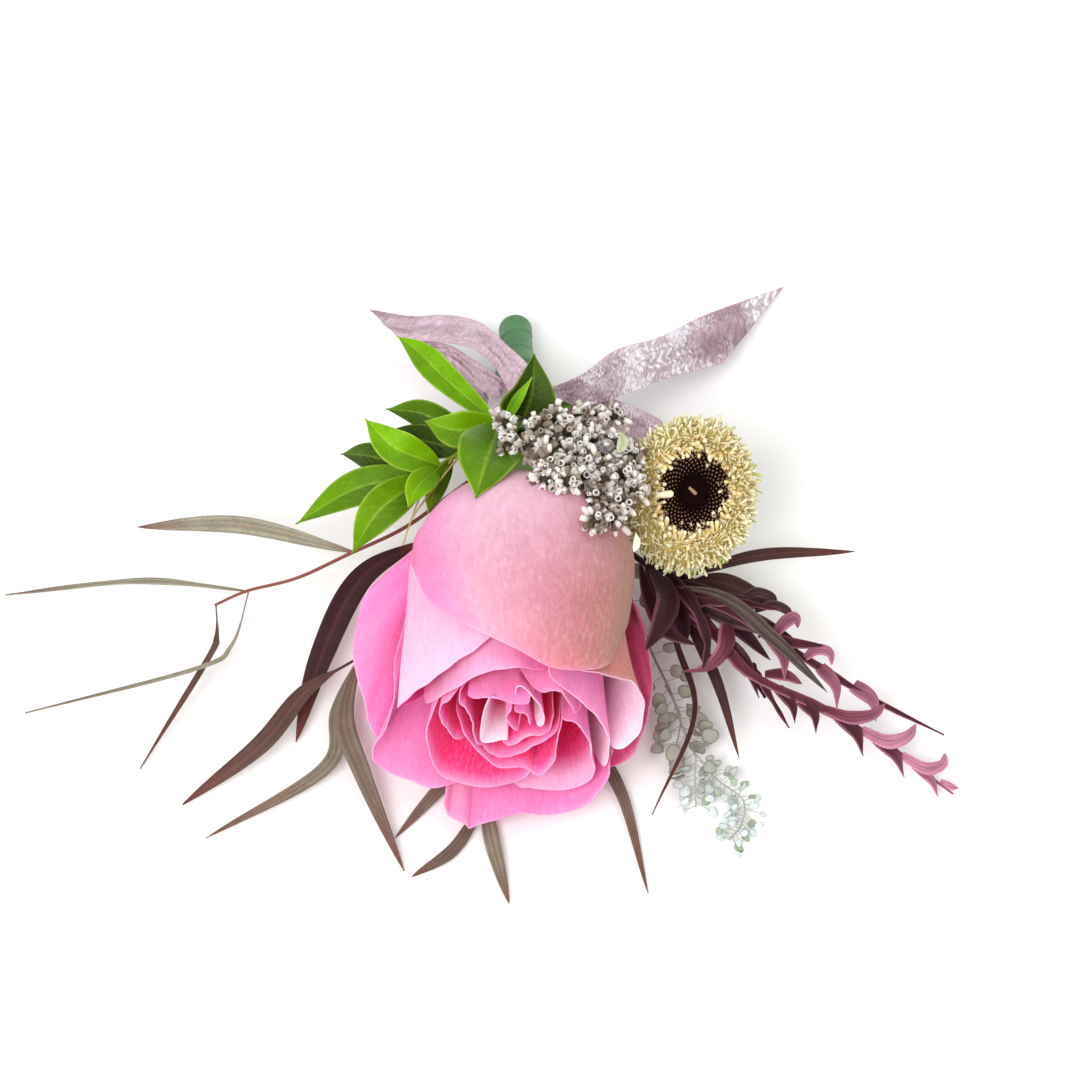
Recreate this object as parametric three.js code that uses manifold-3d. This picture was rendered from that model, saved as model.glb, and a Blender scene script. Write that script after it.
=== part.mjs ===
// A rose boutonniere lying on a table: one half-open rose, a small double gerbera, rice flower and four kinds
// of foliage, their stems bound side by side in floral tape and tied with an organza ribbon.
// Millimetres, +Z up. The stems point along +Y and the rose faces -Y, a little upwards.
import * as THREE from 'three';
import { mergeVertices } from 'three/addons/utils/BufferGeometryUtils.js';
import Module from 'manifold-3d';

const wasm = await Module();
wasm.setup();

// Driving dimensions
const BLADE = 0.7; // thickness of leaves, petals and ribbon
const ROSE_LENGTH = 52; // from the seat of the petals to the open face
const ROSE_TILT = THREE.MathUtils.degToRad(12); // the rose looks up from the table by this much
const ROSE_SEAT = new THREE.Vector3(-3.5, -3.5, 20); // where the petals leave the hip
const HANDLE_END = new THREE.Vector3(-5.2, 50.6, 3.5); // centre of the taped end
const HANDLE_MOUTH = new THREE.Vector3(-4, 13, 15); // centre of the open end that the stems leave
const HANDLE_RADIUS = 4.5; // where all the stems are
const HANDLE_TIP_RADIUS = 3.45; // at the end, where only the rose's stem is left
const HANDLE_TAPER = 13; // length of the thin end
const TAPE = 0.6;
const STEM = 0.5; // radius of the thin stems
const SLOT_RING = 3.05; // the thin stems stand on a ring of this radius inside the tape
const GERBERA_RADIUS = 14.3; // over the tips of the rays, before the flower is pressed into an oval
const GERBERA_DISC = 6.6; // radius of the dark disc

// Places are given as a florist sees the piece from 500 mm away, looking down at 60 degrees:
// across to the right, up the view, and height above the table, all in millimetres.
const EYE_DISTANCE = 500;
const EYE_ELEVATION = THREE.MathUtils.degToRad(60);
const TO_EYE = new THREE.Vector3(0, -Math.cos(EYE_ELEVATION), Math.sin(EYE_ELEVATION));
const VIEW_UP = new THREE.Vector3(0, Math.sin(EYE_ELEVATION), Math.cos(EYE_ELEVATION));
const EYE = TO_EYE.clone().multiplyScalar(EYE_DISTANCE);

// The point at a height that is seen at a place of the view.
function at(across, up, height) {
  const sight = new THREE.Vector3(across, 0, 0).addScaledVector(VIEW_UP, up).sub(EYE);
  return EYE.clone().addScaledVector(sight, (height - EYE.z) / sight.z);
}

const places = (list) => list.map((p) => (p.isVector3 ? p : at(...p)));

// A curve that is cut at its own places, not at even lengths, so that a stem passes where its leaves start.
class PlacedCurve extends THREE.CatmullRomCurve3 {
  getSpacedPoints(divisions) {
    return this.getPoints(divisions);
  }

  getTangentAt(share) {
    return this.getTangent(share);
  }
}

const through = (list) => new PlacedCurve(places(list), false, 'catmullrom', 0.5);

// A repeatable random number from 0 to 1.
function lottery(seed) {
  let state = seed;
  return () => {
    state = (state * 1664525 + 1013904223) % 4294967296;
    return state / 4294967296;
  };
}

// Turns a closed geometry into a solid that faces outwards.
function solid(geometry) {
  const bare = geometry.index ? geometry.toNonIndexed() : geometry.clone();
  bare.deleteAttribute('normal');
  bare.deleteAttribute('uv');
  const merged = mergeVertices(bare, 1e-4);
  const faces = new Uint32Array(merged.index.array);
  const make = () => new wasm.Manifold(new wasm.Mesh({
    numProp: 3,
    vertProperties: merged.attributes.position.array,
    triVerts: faces,
  }));
  const made = make();
  if (made.volume() >= 0) return made;
  for (let i = 0; i < faces.length; i += 3) {
    [faces[i + 1], faces[i + 2]] = [faces[i + 2], faces[i + 1]];
  }
  return make();
}

// Joins solids into one body and drops the scraps that a join can leave.
function fuse(solids) {
  const joined = solids.reduce((sum, next) => sum.add(next));
  return joined.decompose().reduce((most, next) => (next.volume() > most.volume() ? next : most));
}

function meshOf(name, shape, colour, roughness = 0.6) {
  const { vertProperties, triVerts } = shape.getMesh();
  const geometry = new THREE.BufferGeometry();
  geometry.setAttribute('position', new THREE.BufferAttribute(new Float32Array(vertProperties), 3));
  geometry.setIndex(new THREE.BufferAttribute(new Uint32Array(triVerts), 1));
  geometry.computeVertexNormals();
  const mesh = new THREE.Mesh(geometry, new THREE.MeshStandardMaterial({ color: colour, roughness, metalness: 0 }));
  mesh.name = name;
  return mesh;
}

// A plate of even thickness over the surface pointAt(u, v), u from 0 to 1 along and v from -1 to 1 across.
// What would sink into the table lies on it instead.
function plate(rows, columns, pointAt, thick = BLADE) {
  const point = (i, j) => pointAt(i / (rows - 1), -1 + (2 * j) / (columns - 1));
  const middle = [];
  for (let i = 0; i < rows; i += 1) {
    middle.push([]);
    for (let j = 0; j < columns; j += 1) {
      const p = point(i, j);
      p.z = Math.max(p.z, thick / 2);
      middle[i].push(p);
    }
  }
  const upper = [];
  const lower = [];
  for (let i = 0; i < rows; i += 1) {
    for (let j = 0; j < columns; j += 1) {
      const along = middle[Math.min(i + 1, rows - 1)][j].clone().sub(middle[Math.max(i - 1, 0)][j]);
      const across = middle[i][Math.min(j + 1, columns - 1)].clone().sub(middle[i][Math.max(j - 1, 0)]);
      const normal = along.cross(across).normalize().multiplyScalar(thick / 2);
      upper.push(middle[i][j].clone().add(normal));
      lower.push(middle[i][j].clone().sub(normal));
    }
  }
  [...upper, ...lower].forEach((p) => { p.z = Math.max(p.z, 0); });
  const count = rows * columns;
  const faces = [];
  const quad = (a, b, c, d) => faces.push(a, b, c, a, c, d);
  for (let i = 0; i < rows - 1; i += 1) {
    for (let j = 0; j < columns - 1; j += 1) {
      const corner = [i * columns + j, (i + 1) * columns + j, (i + 1) * columns + j + 1, i * columns + j + 1];
      const [a, b, c, d] = corner;
      faces.push(a, b, c, a, c, d);
      faces.push(count + a, count + c, count + b, count + a, count + d, count + c);
    }
  }
  for (let i = 0; i < rows - 1; i += 1) {
    const left = i * columns;
    const right = left + columns - 1;
    quad(left, count + left, count + left + columns, left + columns);
    quad(right, right + columns, count + right + columns, count + right);
  }
  for (let j = 0; j < columns - 1; j += 1) {
    const last = (rows - 1) * columns + j;
    quad(j, j + 1, count + j + 1, count + j);
    quad(last, count + last, count + last + 1, last + 1);
  }
  const geometry = new THREE.BufferGeometry();
  const flat = [...upper, ...lower].flatMap((p) => p.toArray());
  geometry.setAttribute('position', new THREE.BufferAttribute(new Float32Array(flat), 3));
  geometry.setIndex(faces);
  return solid(geometry);
}

// A round stem of even thickness along a line of places.
function stem(line, radius = STEM, sides = 4, smooth = 1) {
  const path = through(line);
  const section = new THREE.Shape(
    Array.from({ length: sides }, (_, k) => {
      const turn = (k * 2 * Math.PI) / sides;
      return new THREE.Vector2(radius * Math.cos(turn), radius * Math.sin(turn));
    }),
  );
  const steps = (line.length - 1) * smooth;
  return solid(new THREE.ExtrudeGeometry(section, { steps, extrudePath: path, bevelEnabled: false }));
}

// Outlines: the share of the full width at a share u of a leaf's length.
const outlines = {
  willow: (u) => Math.max(0.12, Math.sin(Math.PI * Math.min(1, u * 0.98 + 0.02)) ** 0.75),
  ovate: (u) => Math.max(0.1, Math.sin(Math.PI * u ** 0.85) ** 0.8 * (1 - 0.12 * u)),
  spade: (u) => Math.max(0.1, Math.sin(Math.PI * u ** 0.5)),
  round: (u) => Math.max(0.25, Math.sin(Math.PI * (0.06 + 0.88 * u)) ** 0.55),
};

// A leaf along a line of places: its face turned to a direction, rolled about its own line, its halves
// folded up from the midrib by a share of their width.
function leaf({ line, width, face = TO_EYE, roll = 0, fold = 0.25, outline = 'willow', rows = 6, columns = 3 }) {
  const path = through(line);
  return plate(rows, columns, (share, v) => {
    const u = (1 - Math.cos(Math.PI * share)) / 2; // closer rows at both ends
    const forward = path.getTangent(u);
    const normal = face.clone().addScaledVector(forward, -face.dot(forward)).normalize();
    normal.applyAxisAngle(forward, THREE.MathUtils.degToRad(roll));
    const side = forward.clone().cross(normal);
    const half = (width / 2) * outlines[outline](u);
    return path.getPoint(u).addScaledVector(side, half * v).addScaledVector(normal, half * fold * Math.abs(v));
  });
}

// The handle: stems side by side in floral tape
const handleAxis = HANDLE_MOUTH.clone().sub(HANDLE_END).normalize();
const handleUp = new THREE.Vector3(0, 0, 1).addScaledVector(handleAxis, -handleAxis.z).normalize();
const handleRight = handleUp.clone().cross(handleAxis);
const handleTurn = new THREE.Quaternion().setFromRotationMatrix(
  new THREE.Matrix4().makeBasis(handleRight, handleUp, handleAxis),
);
const handleLength = HANDLE_MOUTH.distanceTo(HANDLE_END);

// A place inside or beside the handle: along from its end, and right and up of its axis.
const inHandle = (along, right, up) => HANDLE_END.clone()
  .addScaledVector(handleAxis, along)
  .addScaledVector(handleRight, right)
  .addScaledVector(handleUp, up);

function tapedHandle() {
  const bore = HANDLE_RADIUS - TAPE;
  const tipBore = HANDLE_TIP_RADIUS - TAPE;
  const cap = Array.from({ length: 5 }, (_, k) => {
    const turn = (k * Math.PI) / 8;
    return new THREE.Vector2(HANDLE_TIP_RADIUS * Math.sin(turn), HANDLE_TIP_RADIUS * (1 - Math.cos(turn)) * 0.8);
  });
  const profile = [
    ...cap,
    new THREE.Vector2(HANDLE_TIP_RADIUS, HANDLE_TAPER - 2),
    new THREE.Vector2(HANDLE_RADIUS, HANDLE_TAPER + 4),
    new THREE.Vector2(HANDLE_RADIUS, handleLength),
    new THREE.Vector2(bore, handleLength),
    new THREE.Vector2(bore, HANDLE_TAPER + 4),
    new THREE.Vector2(tipBore, HANDLE_TAPER - 2),
    new THREE.Vector2(tipBore, HANDLE_TIP_RADIUS),
    new THREE.Vector2(0, HANDLE_TIP_RADIUS * 0.6),
  ];
  const turned = new THREE.LatheGeometry(profile, 16);
  turned.rotateX(Math.PI / 2);
  turned.applyQuaternion(handleTurn);
  turned.translate(HANDLE_END.x, HANDLE_END.y, HANDLE_END.z);
  return solid(turned);
}

// The thin stems stand in the handle on a ring; a slot is the angle from the right, through the top.
const SLOT_START = HANDLE_TAPER + 5; // how far above the taped end they stand
function fromSlot(degrees, beyond = 3, outward = 1.2) {
  const turn = THREE.MathUtils.degToRad(degrees);
  const spot = (along, ring) => inHandle(along, ring * Math.cos(turn), ring * Math.sin(turn));
  return [
    spot(SLOT_START, SLOT_RING),
    spot(handleLength - 5, SLOT_RING),
    spot(handleLength + 0.5, SLOT_RING),
    spot(handleLength + beyond, SLOT_RING + outward),
  ];
}

// The rose. Its own frame has the axis along the flower and angles from the right, through the top.
const roseAxis = new THREE.Vector3(0, -Math.cos(ROSE_TILT), Math.sin(ROSE_TILT));
const roseUp = new THREE.Vector3(0, Math.sin(ROSE_TILT), Math.cos(ROSE_TILT));
const roseRight = new THREE.Vector3(1, 0, 0);
const inRose = (turn, out, along) => ROSE_SEAT.clone()
  .addScaledVector(roseAxis, along)
  .addScaledVector(roseRight, out * Math.cos(turn))
  .addScaledVector(roseUp, out * Math.sin(turn));

// The point of the view at a distance from the seat, measured along the rose.
function onRose(across, up, along) {
  const sight = new THREE.Vector3(across, 0, 0).addScaledVector(VIEW_UP, up).sub(EYE);
  const reach = (along + ROSE_SEAT.dot(roseAxis) - EYE.dot(roseAxis)) / sight.dot(roseAxis);
  return EYE.clone().addScaledVector(sight, reach);
}

// Petals. Each has the angle of its middle, the radius of its belly (at the first and last side of its rim) and
// its rim. A place of the rim is seen across and up the view at a distance along the rose; { turn, out, along }
// gives one that is hidden. lip rolls the rim outwards.
const PETAL_BELLY = ROSE_LENGTH * 0.48; // the petals are widest from this distance on
const round = (turn, out, along) => inRose(THREE.MathUtils.degToRad(turn), out, along);
const OUTER_PETALS = [
  { // over the top, closed, its rim running down both sides, with a full shoulder
    turn: 84,
    out: 21.3,
    belly: 18,
    rounding: 0.6,
    rim: [
      round(-8, 21, 26), round(2, 21, 36), round(18, 20, 45), [10, -26.2, 50.5], [2.6, -25.6, 51], [-5, -21.6, 49.5],
      [-13, -17.8, 45.5], [-18.4, -14.6, 40], [-22.4, -11.6, 34], [-25.6, -5, 22],
    ],
  },
  { // the left side, pale, its rim rising under the first
    turn: 160,
    out: 18.8,
    belly: 19,
    rounding: 0.6,
    rim: [
      round(222, 19.5, 26), round(208, 20.5, 39), [-29.2, -33.4, 46.5], [-24.6, -30, 48], [-18, -25.8, 48],
      [-12, -20.8, 46.4], round(92, 17.4, 42),
    ],
  },
  { // falls open to the left
    turn: 202,
    out: 23.6,
    rim: [
      round(226, 24, 26), round(216, 27.4, 36), [-32, -39.4, 45], [-35, -33, 41], [-37, -26, 34.5],
      [-37.2, -19.6, 27], [-34.4, -10.6, 19], [-27.6, -3.6, 12],
    ],
  },
  { // lower left
    turn: 230,
    out: 21,
    rim: [
      round(272, 19.6, 30), round(262, 22, 44), [-19.6, -49.6, 50.5], [-25.6, -48.2, 50], [-31.4, -45.6, 48.4],
      [-33.4, -41.6, 47], [-29.8, -33.8, 43], round(192, 23.8, 34),
    ],
  },
  { // falls open below, its tip down
    turn: 276,
    out: 21.2,
    last: 23.8,
    rim: [
      round(312, 21, 34), [14.8, -43.4, 50], [13.6, -48.6, 53], [9, -52.8, 54], [2, -55.4, 55], [-6, -55.6, 55.5],
      [-13.4, -58.2, 56], [-18.8, -54.6, 54], round(241, 29, 44), round(237, 25, 30),
    ],
  },
  { // falls open to the right
    turn: 336,
    out: 24,
    last: 18.4,
    rim: [
      round(294, 24, 30), round(302, 27, 44), [15.8, -44.8, 48.6], [19.4, -40, 47], [22, -33, 42],
      [22.4, -25.4, 34.6], [21, -17.8, 27], [18, -14.4, 22], round(2, 15, 10),
    ],
  },
  { // right, its tip folded out
    turn: 16,
    out: 18.2,
    last: 17.6,
    lip: 0.8,
    rim: [
      round(320, 18.4, 40), [14.4, -41.6, 50], [18, -39.6, 50], [19.8, -33, 47], [17.4, -28.4, 47], [13, -27.4, 48],
      [7.4, -26.2, 49], round(60, 12.4, 42),
    ],
  },
];

const INNER_PETALS = [
  { // over the top, under the closed petal
    turn: 104,
    out: 14.2,
    last: 15.6,
    from: 0.5,
    rim: [
      round(34, 12, 42), [1.4, -25.8, 48.6], [-5, -25.8, 50.6], [-11.4, -26.6, 51], [-18.6, -30.2, 50],
      [-22.6, -32.6, 48.6], round(190, 17.4, 38),
    ],
  },
  { // right
    turn: 352,
    out: 15.4,
    last: 14.6,
    from: 0.5,
    rim: [
      round(304, 19, 42), [12.6, -45.2, 51], [14.2, -40.4, 51], [13.2, -37.4, 51], [10.2, -34.6, 51.4],
      [7, -31.4, 51.6], [2.2, -26.8, 50], round(58, 13.6, 42),
    ],
  },
  { // lower left
    turn: 216,
    out: 14,
    last: 13.6,
    from: 0.5,
    rim: [
      round(290, 15.6, 44), [-2, -46, 52.6], [-5, -48.2, 52.4], [-11.4, -49.6, 52], [-19.4, -47.4, 50.6],
      [-21.8, -43.2, 50.6], [-22.2, -37.6, 50.6], [-20.6, -31.4, 49.6], round(164, 13.6, 40),
    ],
  },
  { // lower right
    turn: 306,
    out: 16,
    last: 12.6,
    from: 0.5,
    rim: [
      round(248, 19.6, 44), [-5, -48.8, 50.6], [-1.6, -49.4, 51.4], [4, -50, 52], [8.6, -49, 52], [11.4, -46.4, 52],
      [11, -43.6, 52], [9.4, -40, 52], [6.8, -36.6, 51], [4.2, -35, 49.6], round(2, 8.6, 42),
    ],
  },
  { // second ring, below
    turn: 256,
    out: 11.4,
    last: 11.2,
    from: 0.64,
    rim: [
      [4, -36, 50.6], [3.6, -39.6, 52.6], [3.4, -43.6, 53.4], [0, -47, 53.6], [-3.4, -45.2, 52.6],
      [-8.8, -45.2, 52.4], [-13.4, -41.4, 52], [-15.6, -37.6, 51], [-16.4, -33.4, 48],
    ],
  },
  { // second ring, left
    turn: 184,
    out: 13,
    last: 12,
    from: 0.64,
    rim: [
      round(232, 13.4, 44), [-15.4, -39.6, 50.4], [-17.8, -38.8, 51.4], [-19.8, -36.8, 51.6], [-20, -33.6, 51.2],
      [-17.4, -31.4, 50.6], round(138, 11.6, 44),
    ],
  },
  { // second ring, right
    turn: 44,
    out: 12.4,
    last: 10.4,
    from: 0.64,
    rim: [round(6, 12.8, 44), [7.6, -34.4, 50.6], [6.2, -32.4, 51.6], [3.4, -30.4, 52], [-1, -29.8, 51.4], round(100, 10, 44)],
  },
  { // third ring, leaning in from the top
    turn: 100,
    out: 8.6,
    last: 8.4,
    from: 0.72,
    rim: [round(40, 7.6, 42), [-1.8, -31, 52], [-3.2, -32.6, 53], [-9, -31.8, 53], [-14.2, -31.2, 51], round(172, 8.4, 42)],
  },
  { // third ring, left
    turn: 190,
    out: 8.4,
    last: 10.2,
    from: 0.72,
    rim: [
      round(240, 8.2, 44), [-10.8, -40.4, 51.4], [-12.4, -37.4, 52], [-14, -34.4, 52], [-15.8, -31.2, 50.4],
      round(136, 10.6, 44),
    ],
  },
  { // third ring, below
    turn: 274,
    out: 8,
    last: 10.2,
    from: 0.72,
    rim: [
      round(346, 7.6, 44), [3, -38.4, 51.6], [-1.8, -41.8, 52.4], [-6.2, -43.2, 52.6], [-9.2, -42.8, 52],
      [-11.4, -41.2, 51], round(206, 10.4, 44),
    ],
  },
  { // heart, left, its lip folded out
    turn: 190,
    out: 4.6,
    from: 0.8,
    lip: 2.6,
    rim: [round(240, 4.8, 46), [-7, -38.8, 51], [-8.4, -36, 52.4], [-7.6, -31.8, 52], round(120, 5, 46)],
  },
  { // heart, right, rolled
    turn: 30,
    out: 3.4,
    last: 4,
    from: 0.8,
    lip: 1.6,
    rim: [round(316, 3, 46), [0.6, -36.4, 51], [-2.2, -35.2, 52.6], [-5.8, -33.2, 52.4], round(100, 4, 46)],
  },
  { // heart, below
    turn: 284,
    out: 5.8,
    last: 6.6,
    from: 0.8,
    rim: [round(4, 6, 46), [1.8, -37.6, 51.2], [-2.4, -39.6, 52], [-6.8, -40.8, 52], round(225, 6.8, 46)],
  },
];

// A petal leaves the seat in a narrow fan, bellies out, and runs up to its rim. The inner ones start inside the
// heart, at a share of their length.
function petalPlate(petal, rows, columns, thick) {
  const { turn, out, last = out, rim, lip = 0, from = 0, belly: widest = PETAL_BELLY, rounding = 0.8 } = petal;
  const line = new THREE.CatmullRomCurve3(rim.map((p) => (p.isVector3 ? p : onRose(...p))), false, 'catmullrom', 0.5);
  const turnAt = THREE.MathUtils.degToRad(turn);
  return plate(rows, columns, (share, v) => {
    const s = from + (1 - from) * share;
    const edge = line.getPoint((v + 1) / 2).sub(ROSE_SEAT);
    const right = edge.dot(roseRight);
    const high = edge.dot(roseUp);
    const swing = Math.atan2(high, right) - turnAt;
    const fan = 0.3 + 0.7 * Math.sin((Math.min(1, s / 0.6) * Math.PI) / 2);
    const along = edge.dot(roseAxis) * s;
    const belly = 0.2 + 0.8 * Math.sin((Math.min(1, along / widest) * Math.PI) / 2) ** rounding;
    const near = Math.max(0, (s - 0.35) / 0.65) ** 1.6;
    const roll = lip * Math.max(0, (s - 0.8) / 0.2) ** 2 * (1 - v * v);
    return inRose(
      turnAt + Math.atan2(Math.sin(swing), Math.cos(swing)) * fan,
      (out + (last - out) * (v + 1) * 0.5) * belly * (1 - near) + Math.hypot(right, high) * near + roll,
      along - 0.5 * roll,
    );
  }, thick);
}

// The closed heart that the inner petals stand out of: radius and distance from the seat.
const ROSE_HEART = [[0, 0], [4.6, 0.6], [13, 15], [16.4, 26], [12.4, 37], [0, 43]];

function rosePetals() {
  const heart = new THREE.LatheGeometry(
    ROSE_HEART.map(([out, along]) => new THREE.Vector2(out, along)),
    9,
  );
  heart.applyQuaternion(new THREE.Quaternion().setFromUnitVectors(new THREE.Vector3(0, 1, 0), roseAxis));
  heart.translate(...ROSE_SEAT.toArray());
  return fuse([
    solid(heart),
    ...OUTER_PETALS.map((petal) => petalPlate(petal, 6, 8, 0.8)),
    ...INNER_PETALS.map((petal) => petalPlate(petal, 4, petal.from < 0.7 ? 7 : 5, BLADE)),
  ]);
}

const HIP_GAP = 0.65;
function roseHip() {
  const hip = new THREE.LatheGeometry([
    new THREE.Vector2(0, -10),
    new THREE.Vector2(1.5, -9.6),
    new THREE.Vector2(3.4, -7),
    new THREE.Vector2(4.2, -4),
    new THREE.Vector2(3.6, -1.2),
    new THREE.Vector2(4.4, -HIP_GAP),
    new THREE.Vector2(0, -HIP_GAP),
  ], 12);
  hip.applyQuaternion(new THREE.Quaternion().setFromUnitVectors(new THREE.Vector3(0, 1, 0), roseAxis));
  hip.translate(...ROSE_SEAT.toArray());
  const sepals = Array.from({ length: 5 }, (_, k) => {
    const turn = THREE.MathUtils.degToRad(54 + k * 72);
    const spot = (out, along) => inRose(turn, out, along);
    return leaf({
      line: [spot(2.6, -1.6), spot(7, -2.2), spot(12, -4.5)],
      width: 3.6,
      face: inRose(turn, 0, 1).sub(ROSE_SEAT),
      outline: 'ovate',
      rows: 5,
    });
  });
  const stalk = stem([
    inRose(0, 0, -8.5),
    inHandle(handleLength + 1, -0.6, 0),
    inHandle(handleLength - 8, -0.6, 0),
    inHandle(HANDLE_TAPER, -0.3, 0),
    inHandle(HANDLE_TIP_RADIUS, 0, 0),
  ], 1.5, 7, 2);
  return fuse([solid(hip), stalk, ...sepals]);
}

// The gerbera. Its own frame has the axis along its face.
const GERBERA_FACE = new THREE.Vector3(28.7, -7, 30);
const GERBERA_OVAL = 1.17; // it is longer towards the rose's rim than across
const gerberaAxis = new THREE.Vector3(0.14, -0.42, 0.9).normalize();
const gerberaTurn = new THREE.Quaternion().setFromUnitVectors(new THREE.Vector3(0, 1, 0), gerberaAxis);
const inGerbera = (turn, out, along) => (
  new THREE.Vector3(out * Math.cos(turn), along, out * Math.sin(turn) * GERBERA_OVAL)
    .applyQuaternion(gerberaTurn).add(GERBERA_FACE)
);
const GOLDEN = Math.PI * (3 - Math.sqrt(5));
const RAY_ROWS = 8;
const RAYS_AROUND = 20; // in one row; the next row stands between them
const RAY_LENGTH = GERBERA_RADIUS - 9.5;
const PRESSED_SIDE = THREE.MathUtils.degToRad(150); // where the rose holds the rays in

// The cushion that the rays stand on, from beside the disc over the top and down the side: radius and height.
const CUSHION = new THREE.SplineCurve([
  new THREE.Vector2(7.2, -0.9),
  new THREE.Vector2(8.4, -0.5),
  new THREE.Vector2(9.6, -1.6),
  new THREE.Vector2(10.1, -3.4),
  new THREE.Vector2(9.6, -5.6),
  new THREE.Vector2(7.8, -7.8),
]);

// A closed surface round the flower's axis from rings of points, each ring as { out, along } at an angle.
function ringed(rings, spokes, ringPoint) {
  const positions = [];
  const faces = [];
  const add = (point) => positions.push(...point.toArray()) / 3 - 1;
  const index = Array.from({ length: rings }, (_, ring) => (
    Array.from({ length: spokes }, (__, spoke) => add(ringPoint(ring, spoke)))
  ));
  const cap = (ring) => {
    const centre = new THREE.Vector3();
    index[ring].forEach((k) => centre.add(new THREE.Vector3(...positions.slice(3 * k, 3 * k + 3))));
    return add(centre.divideScalar(spokes));
  };
  const [first, last] = [cap(0), cap(rings - 1)];
  for (let spoke = 0; spoke < spokes; spoke += 1) {
    const next = (spoke + 1) % spokes;
    faces.push(first, index[0][spoke], index[0][next]);
    faces.push(last, index[rings - 1][next], index[rings - 1][spoke]);
    for (let ring = 0; ring < rings - 1; ring += 1) {
      const [a, b] = [index[ring][spoke], index[ring][next]];
      const [c, d] = [index[ring + 1][spoke], index[ring + 1][next]];
      faces.push(...((ring + spoke) % 2 ? [a, c, b, b, c, d] : [a, c, d, a, d, b]));
    }
  }
  const geometry = new THREE.BufferGeometry();
  geometry.setAttribute('position', new THREE.BufferAttribute(new Float32Array(positions), 3));
  geometry.setIndex(faces);
  return solid(geometry);
}

// The rays cover the cushion: every second point of its rings is drawn out to a tip, and the tips lean from the
// flower's axis by more and more towards the outside.
function gerberaRays() {
  const draw = lottery(7);
  const spokes = RAYS_AROUND * 2;
  const rings = RAY_ROWS + 4;
  return ringed(rings, spokes, (ring, spoke) => {
    const turn = (spoke * 2 * Math.PI) / spokes;
    if (ring === 0) return inGerbera(turn, 6.9, -0.95);
    if (ring === rings - 1) return inGerbera(turn, 3.8, -10);
    const share = (ring - 1) / (RAY_ROWS + 1);
    const foot = CUSHION.getPoint(share);
    const drawn = (ring + spoke) % 2 === 0 && ring > 1 && ring < rings - 2;
    const pressed = 0.45 * Math.max(0, Math.cos(turn - PRESSED_SIDE)) * share;
    const length = drawn ? RAY_LENGTH * (0.75 + 0.35 * draw()) * (1 - pressed) : 0;
    const lean = THREE.MathUtils.degToRad(4 + 104 * share);
    return inGerbera(turn, foot.x + length * Math.sin(lean), foot.y + length * Math.cos(lean));
  });
}

// The disc: a shallow dish whose knobs are raised by a formula, alternately up and down.
function gerberaDisc() {
  const rings = 6;
  const spokes = 20;
  return ringed(rings + 1, spokes, (ring, spoke) => {
    const turn = ((spoke + ring * 0.5) * 2 * Math.PI) / spokes;
    if (ring === rings) return inGerbera(turn - Math.PI / spokes, GERBERA_DISC, -0.55);
    const share = (ring + 1) / rings;
    return inGerbera(turn, GERBERA_DISC * share, 0.35 + 1.1 * share ** 2 + ((ring + spoke) % 2 ? 0 : 0.55));
  });
}

function gerberaStem() {
  const cup = ringed(4, 10, (ring, spoke) => {
    const [out, along] = [[3.9, -10.35], [3.4, -11.8], [1.8, -13.4], [0.8, -13.8]][ring];
    return inGerbera((spoke * 2 * Math.PI) / 10, out, along);
  });
  const bracts = Array.from({ length: 7 }, (_, k) => {
    const turn = (k * 2 * Math.PI) / 7;
    return leaf({
      line: [inGerbera(turn, 2.4, -11.6), inGerbera(turn, 6, -10.9), inGerbera(turn, 9.6, -9)],
      width: 2.6,
      face: gerberaAxis,
      rows: 4,
      columns: 2,
    });
  });
  const stalk = stem([
    inGerbera(0, 0, -12.5),
    new THREE.Vector3(23, 4, 12),
    new THREE.Vector3(10, 11.5, 13),
    inHandle(handleLength + 2.5, 3.2, 0.3),
    inHandle(handleLength, 2.35, 0),
    inHandle(SLOT_START, 2.35, 0),
  ], 1.05, 6, 2);
  return fuse([cup, stalk, ...bracts]);
}

// Rice flower: a stem with branches, each branch a small head of buds.
const HEAD_CORE = 1.75;
const BUD_LENGTH = 1.5;
const BUD_TAPER = 0.74;

const RICE = {
  slot: 67,
  fork: [4, 22, 27],
  heads: [
    [-7.4, 26.2, 39], [-6.2, 20.6, 40.2], [-0.4, 22.6, 38.6], [0.8, 16.8, 40.6], [5.4, 21.8, 36], [6.2, 16.8, 38.6],
    [9.4, 25, 33], [14.8, 25, 33.4], [10.6, 20.4, 35.4], [16, 19.6, 37.8], [5.6, 11.8, 44.6], [11.8, 14.6, 39.6],
    [12.2, 9, 42], [16.8, 13.6, 38.8], [11.2, 3.6, 44.8], [16.6, 7.4, 40.8],
  ],
};

// A head of ten buds: each face of a core is drawn out to a blunt three-sided bud.
function budHead(centre, size, spin) {
  const core = new THREE.SphereGeometry(HEAD_CORE * size, 5, 2).toNonIndexed();
  core.rotateX(spin);
  core.rotateZ(spin * 1.7);
  core.translate(...centre.toArray());
  const spots = core.getAttribute('position');
  const positions = [];
  for (let face = 0; face < spots.count; face += 3) {
    const foot = [0, 1, 2].map((k) => new THREE.Vector3().fromBufferAttribute(spots, face + k));
    const middle = foot.reduce((sum, p) => sum.add(p), new THREE.Vector3()).divideScalar(3);
    const outward = middle.clone().sub(centre).setLength(BUD_LENGTH * size);
    const tip = foot.map((p) => middle.clone().lerp(p, BUD_TAPER).add(outward));
    const corners = [...tip];
    for (let k = 0; k < 3; k += 1) {
      const next = (k + 1) % 3;
      corners.push(foot[k], foot[next], tip[next], foot[k], tip[next], tip[k]);
    }
    corners.forEach((p) => positions.push(...p.toArray()));
  }
  const geometry = new THREE.BufferGeometry();
  geometry.setAttribute('position', new THREE.BufferAttribute(new Float32Array(positions), 3));
  return solid(geometry);
}

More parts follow.
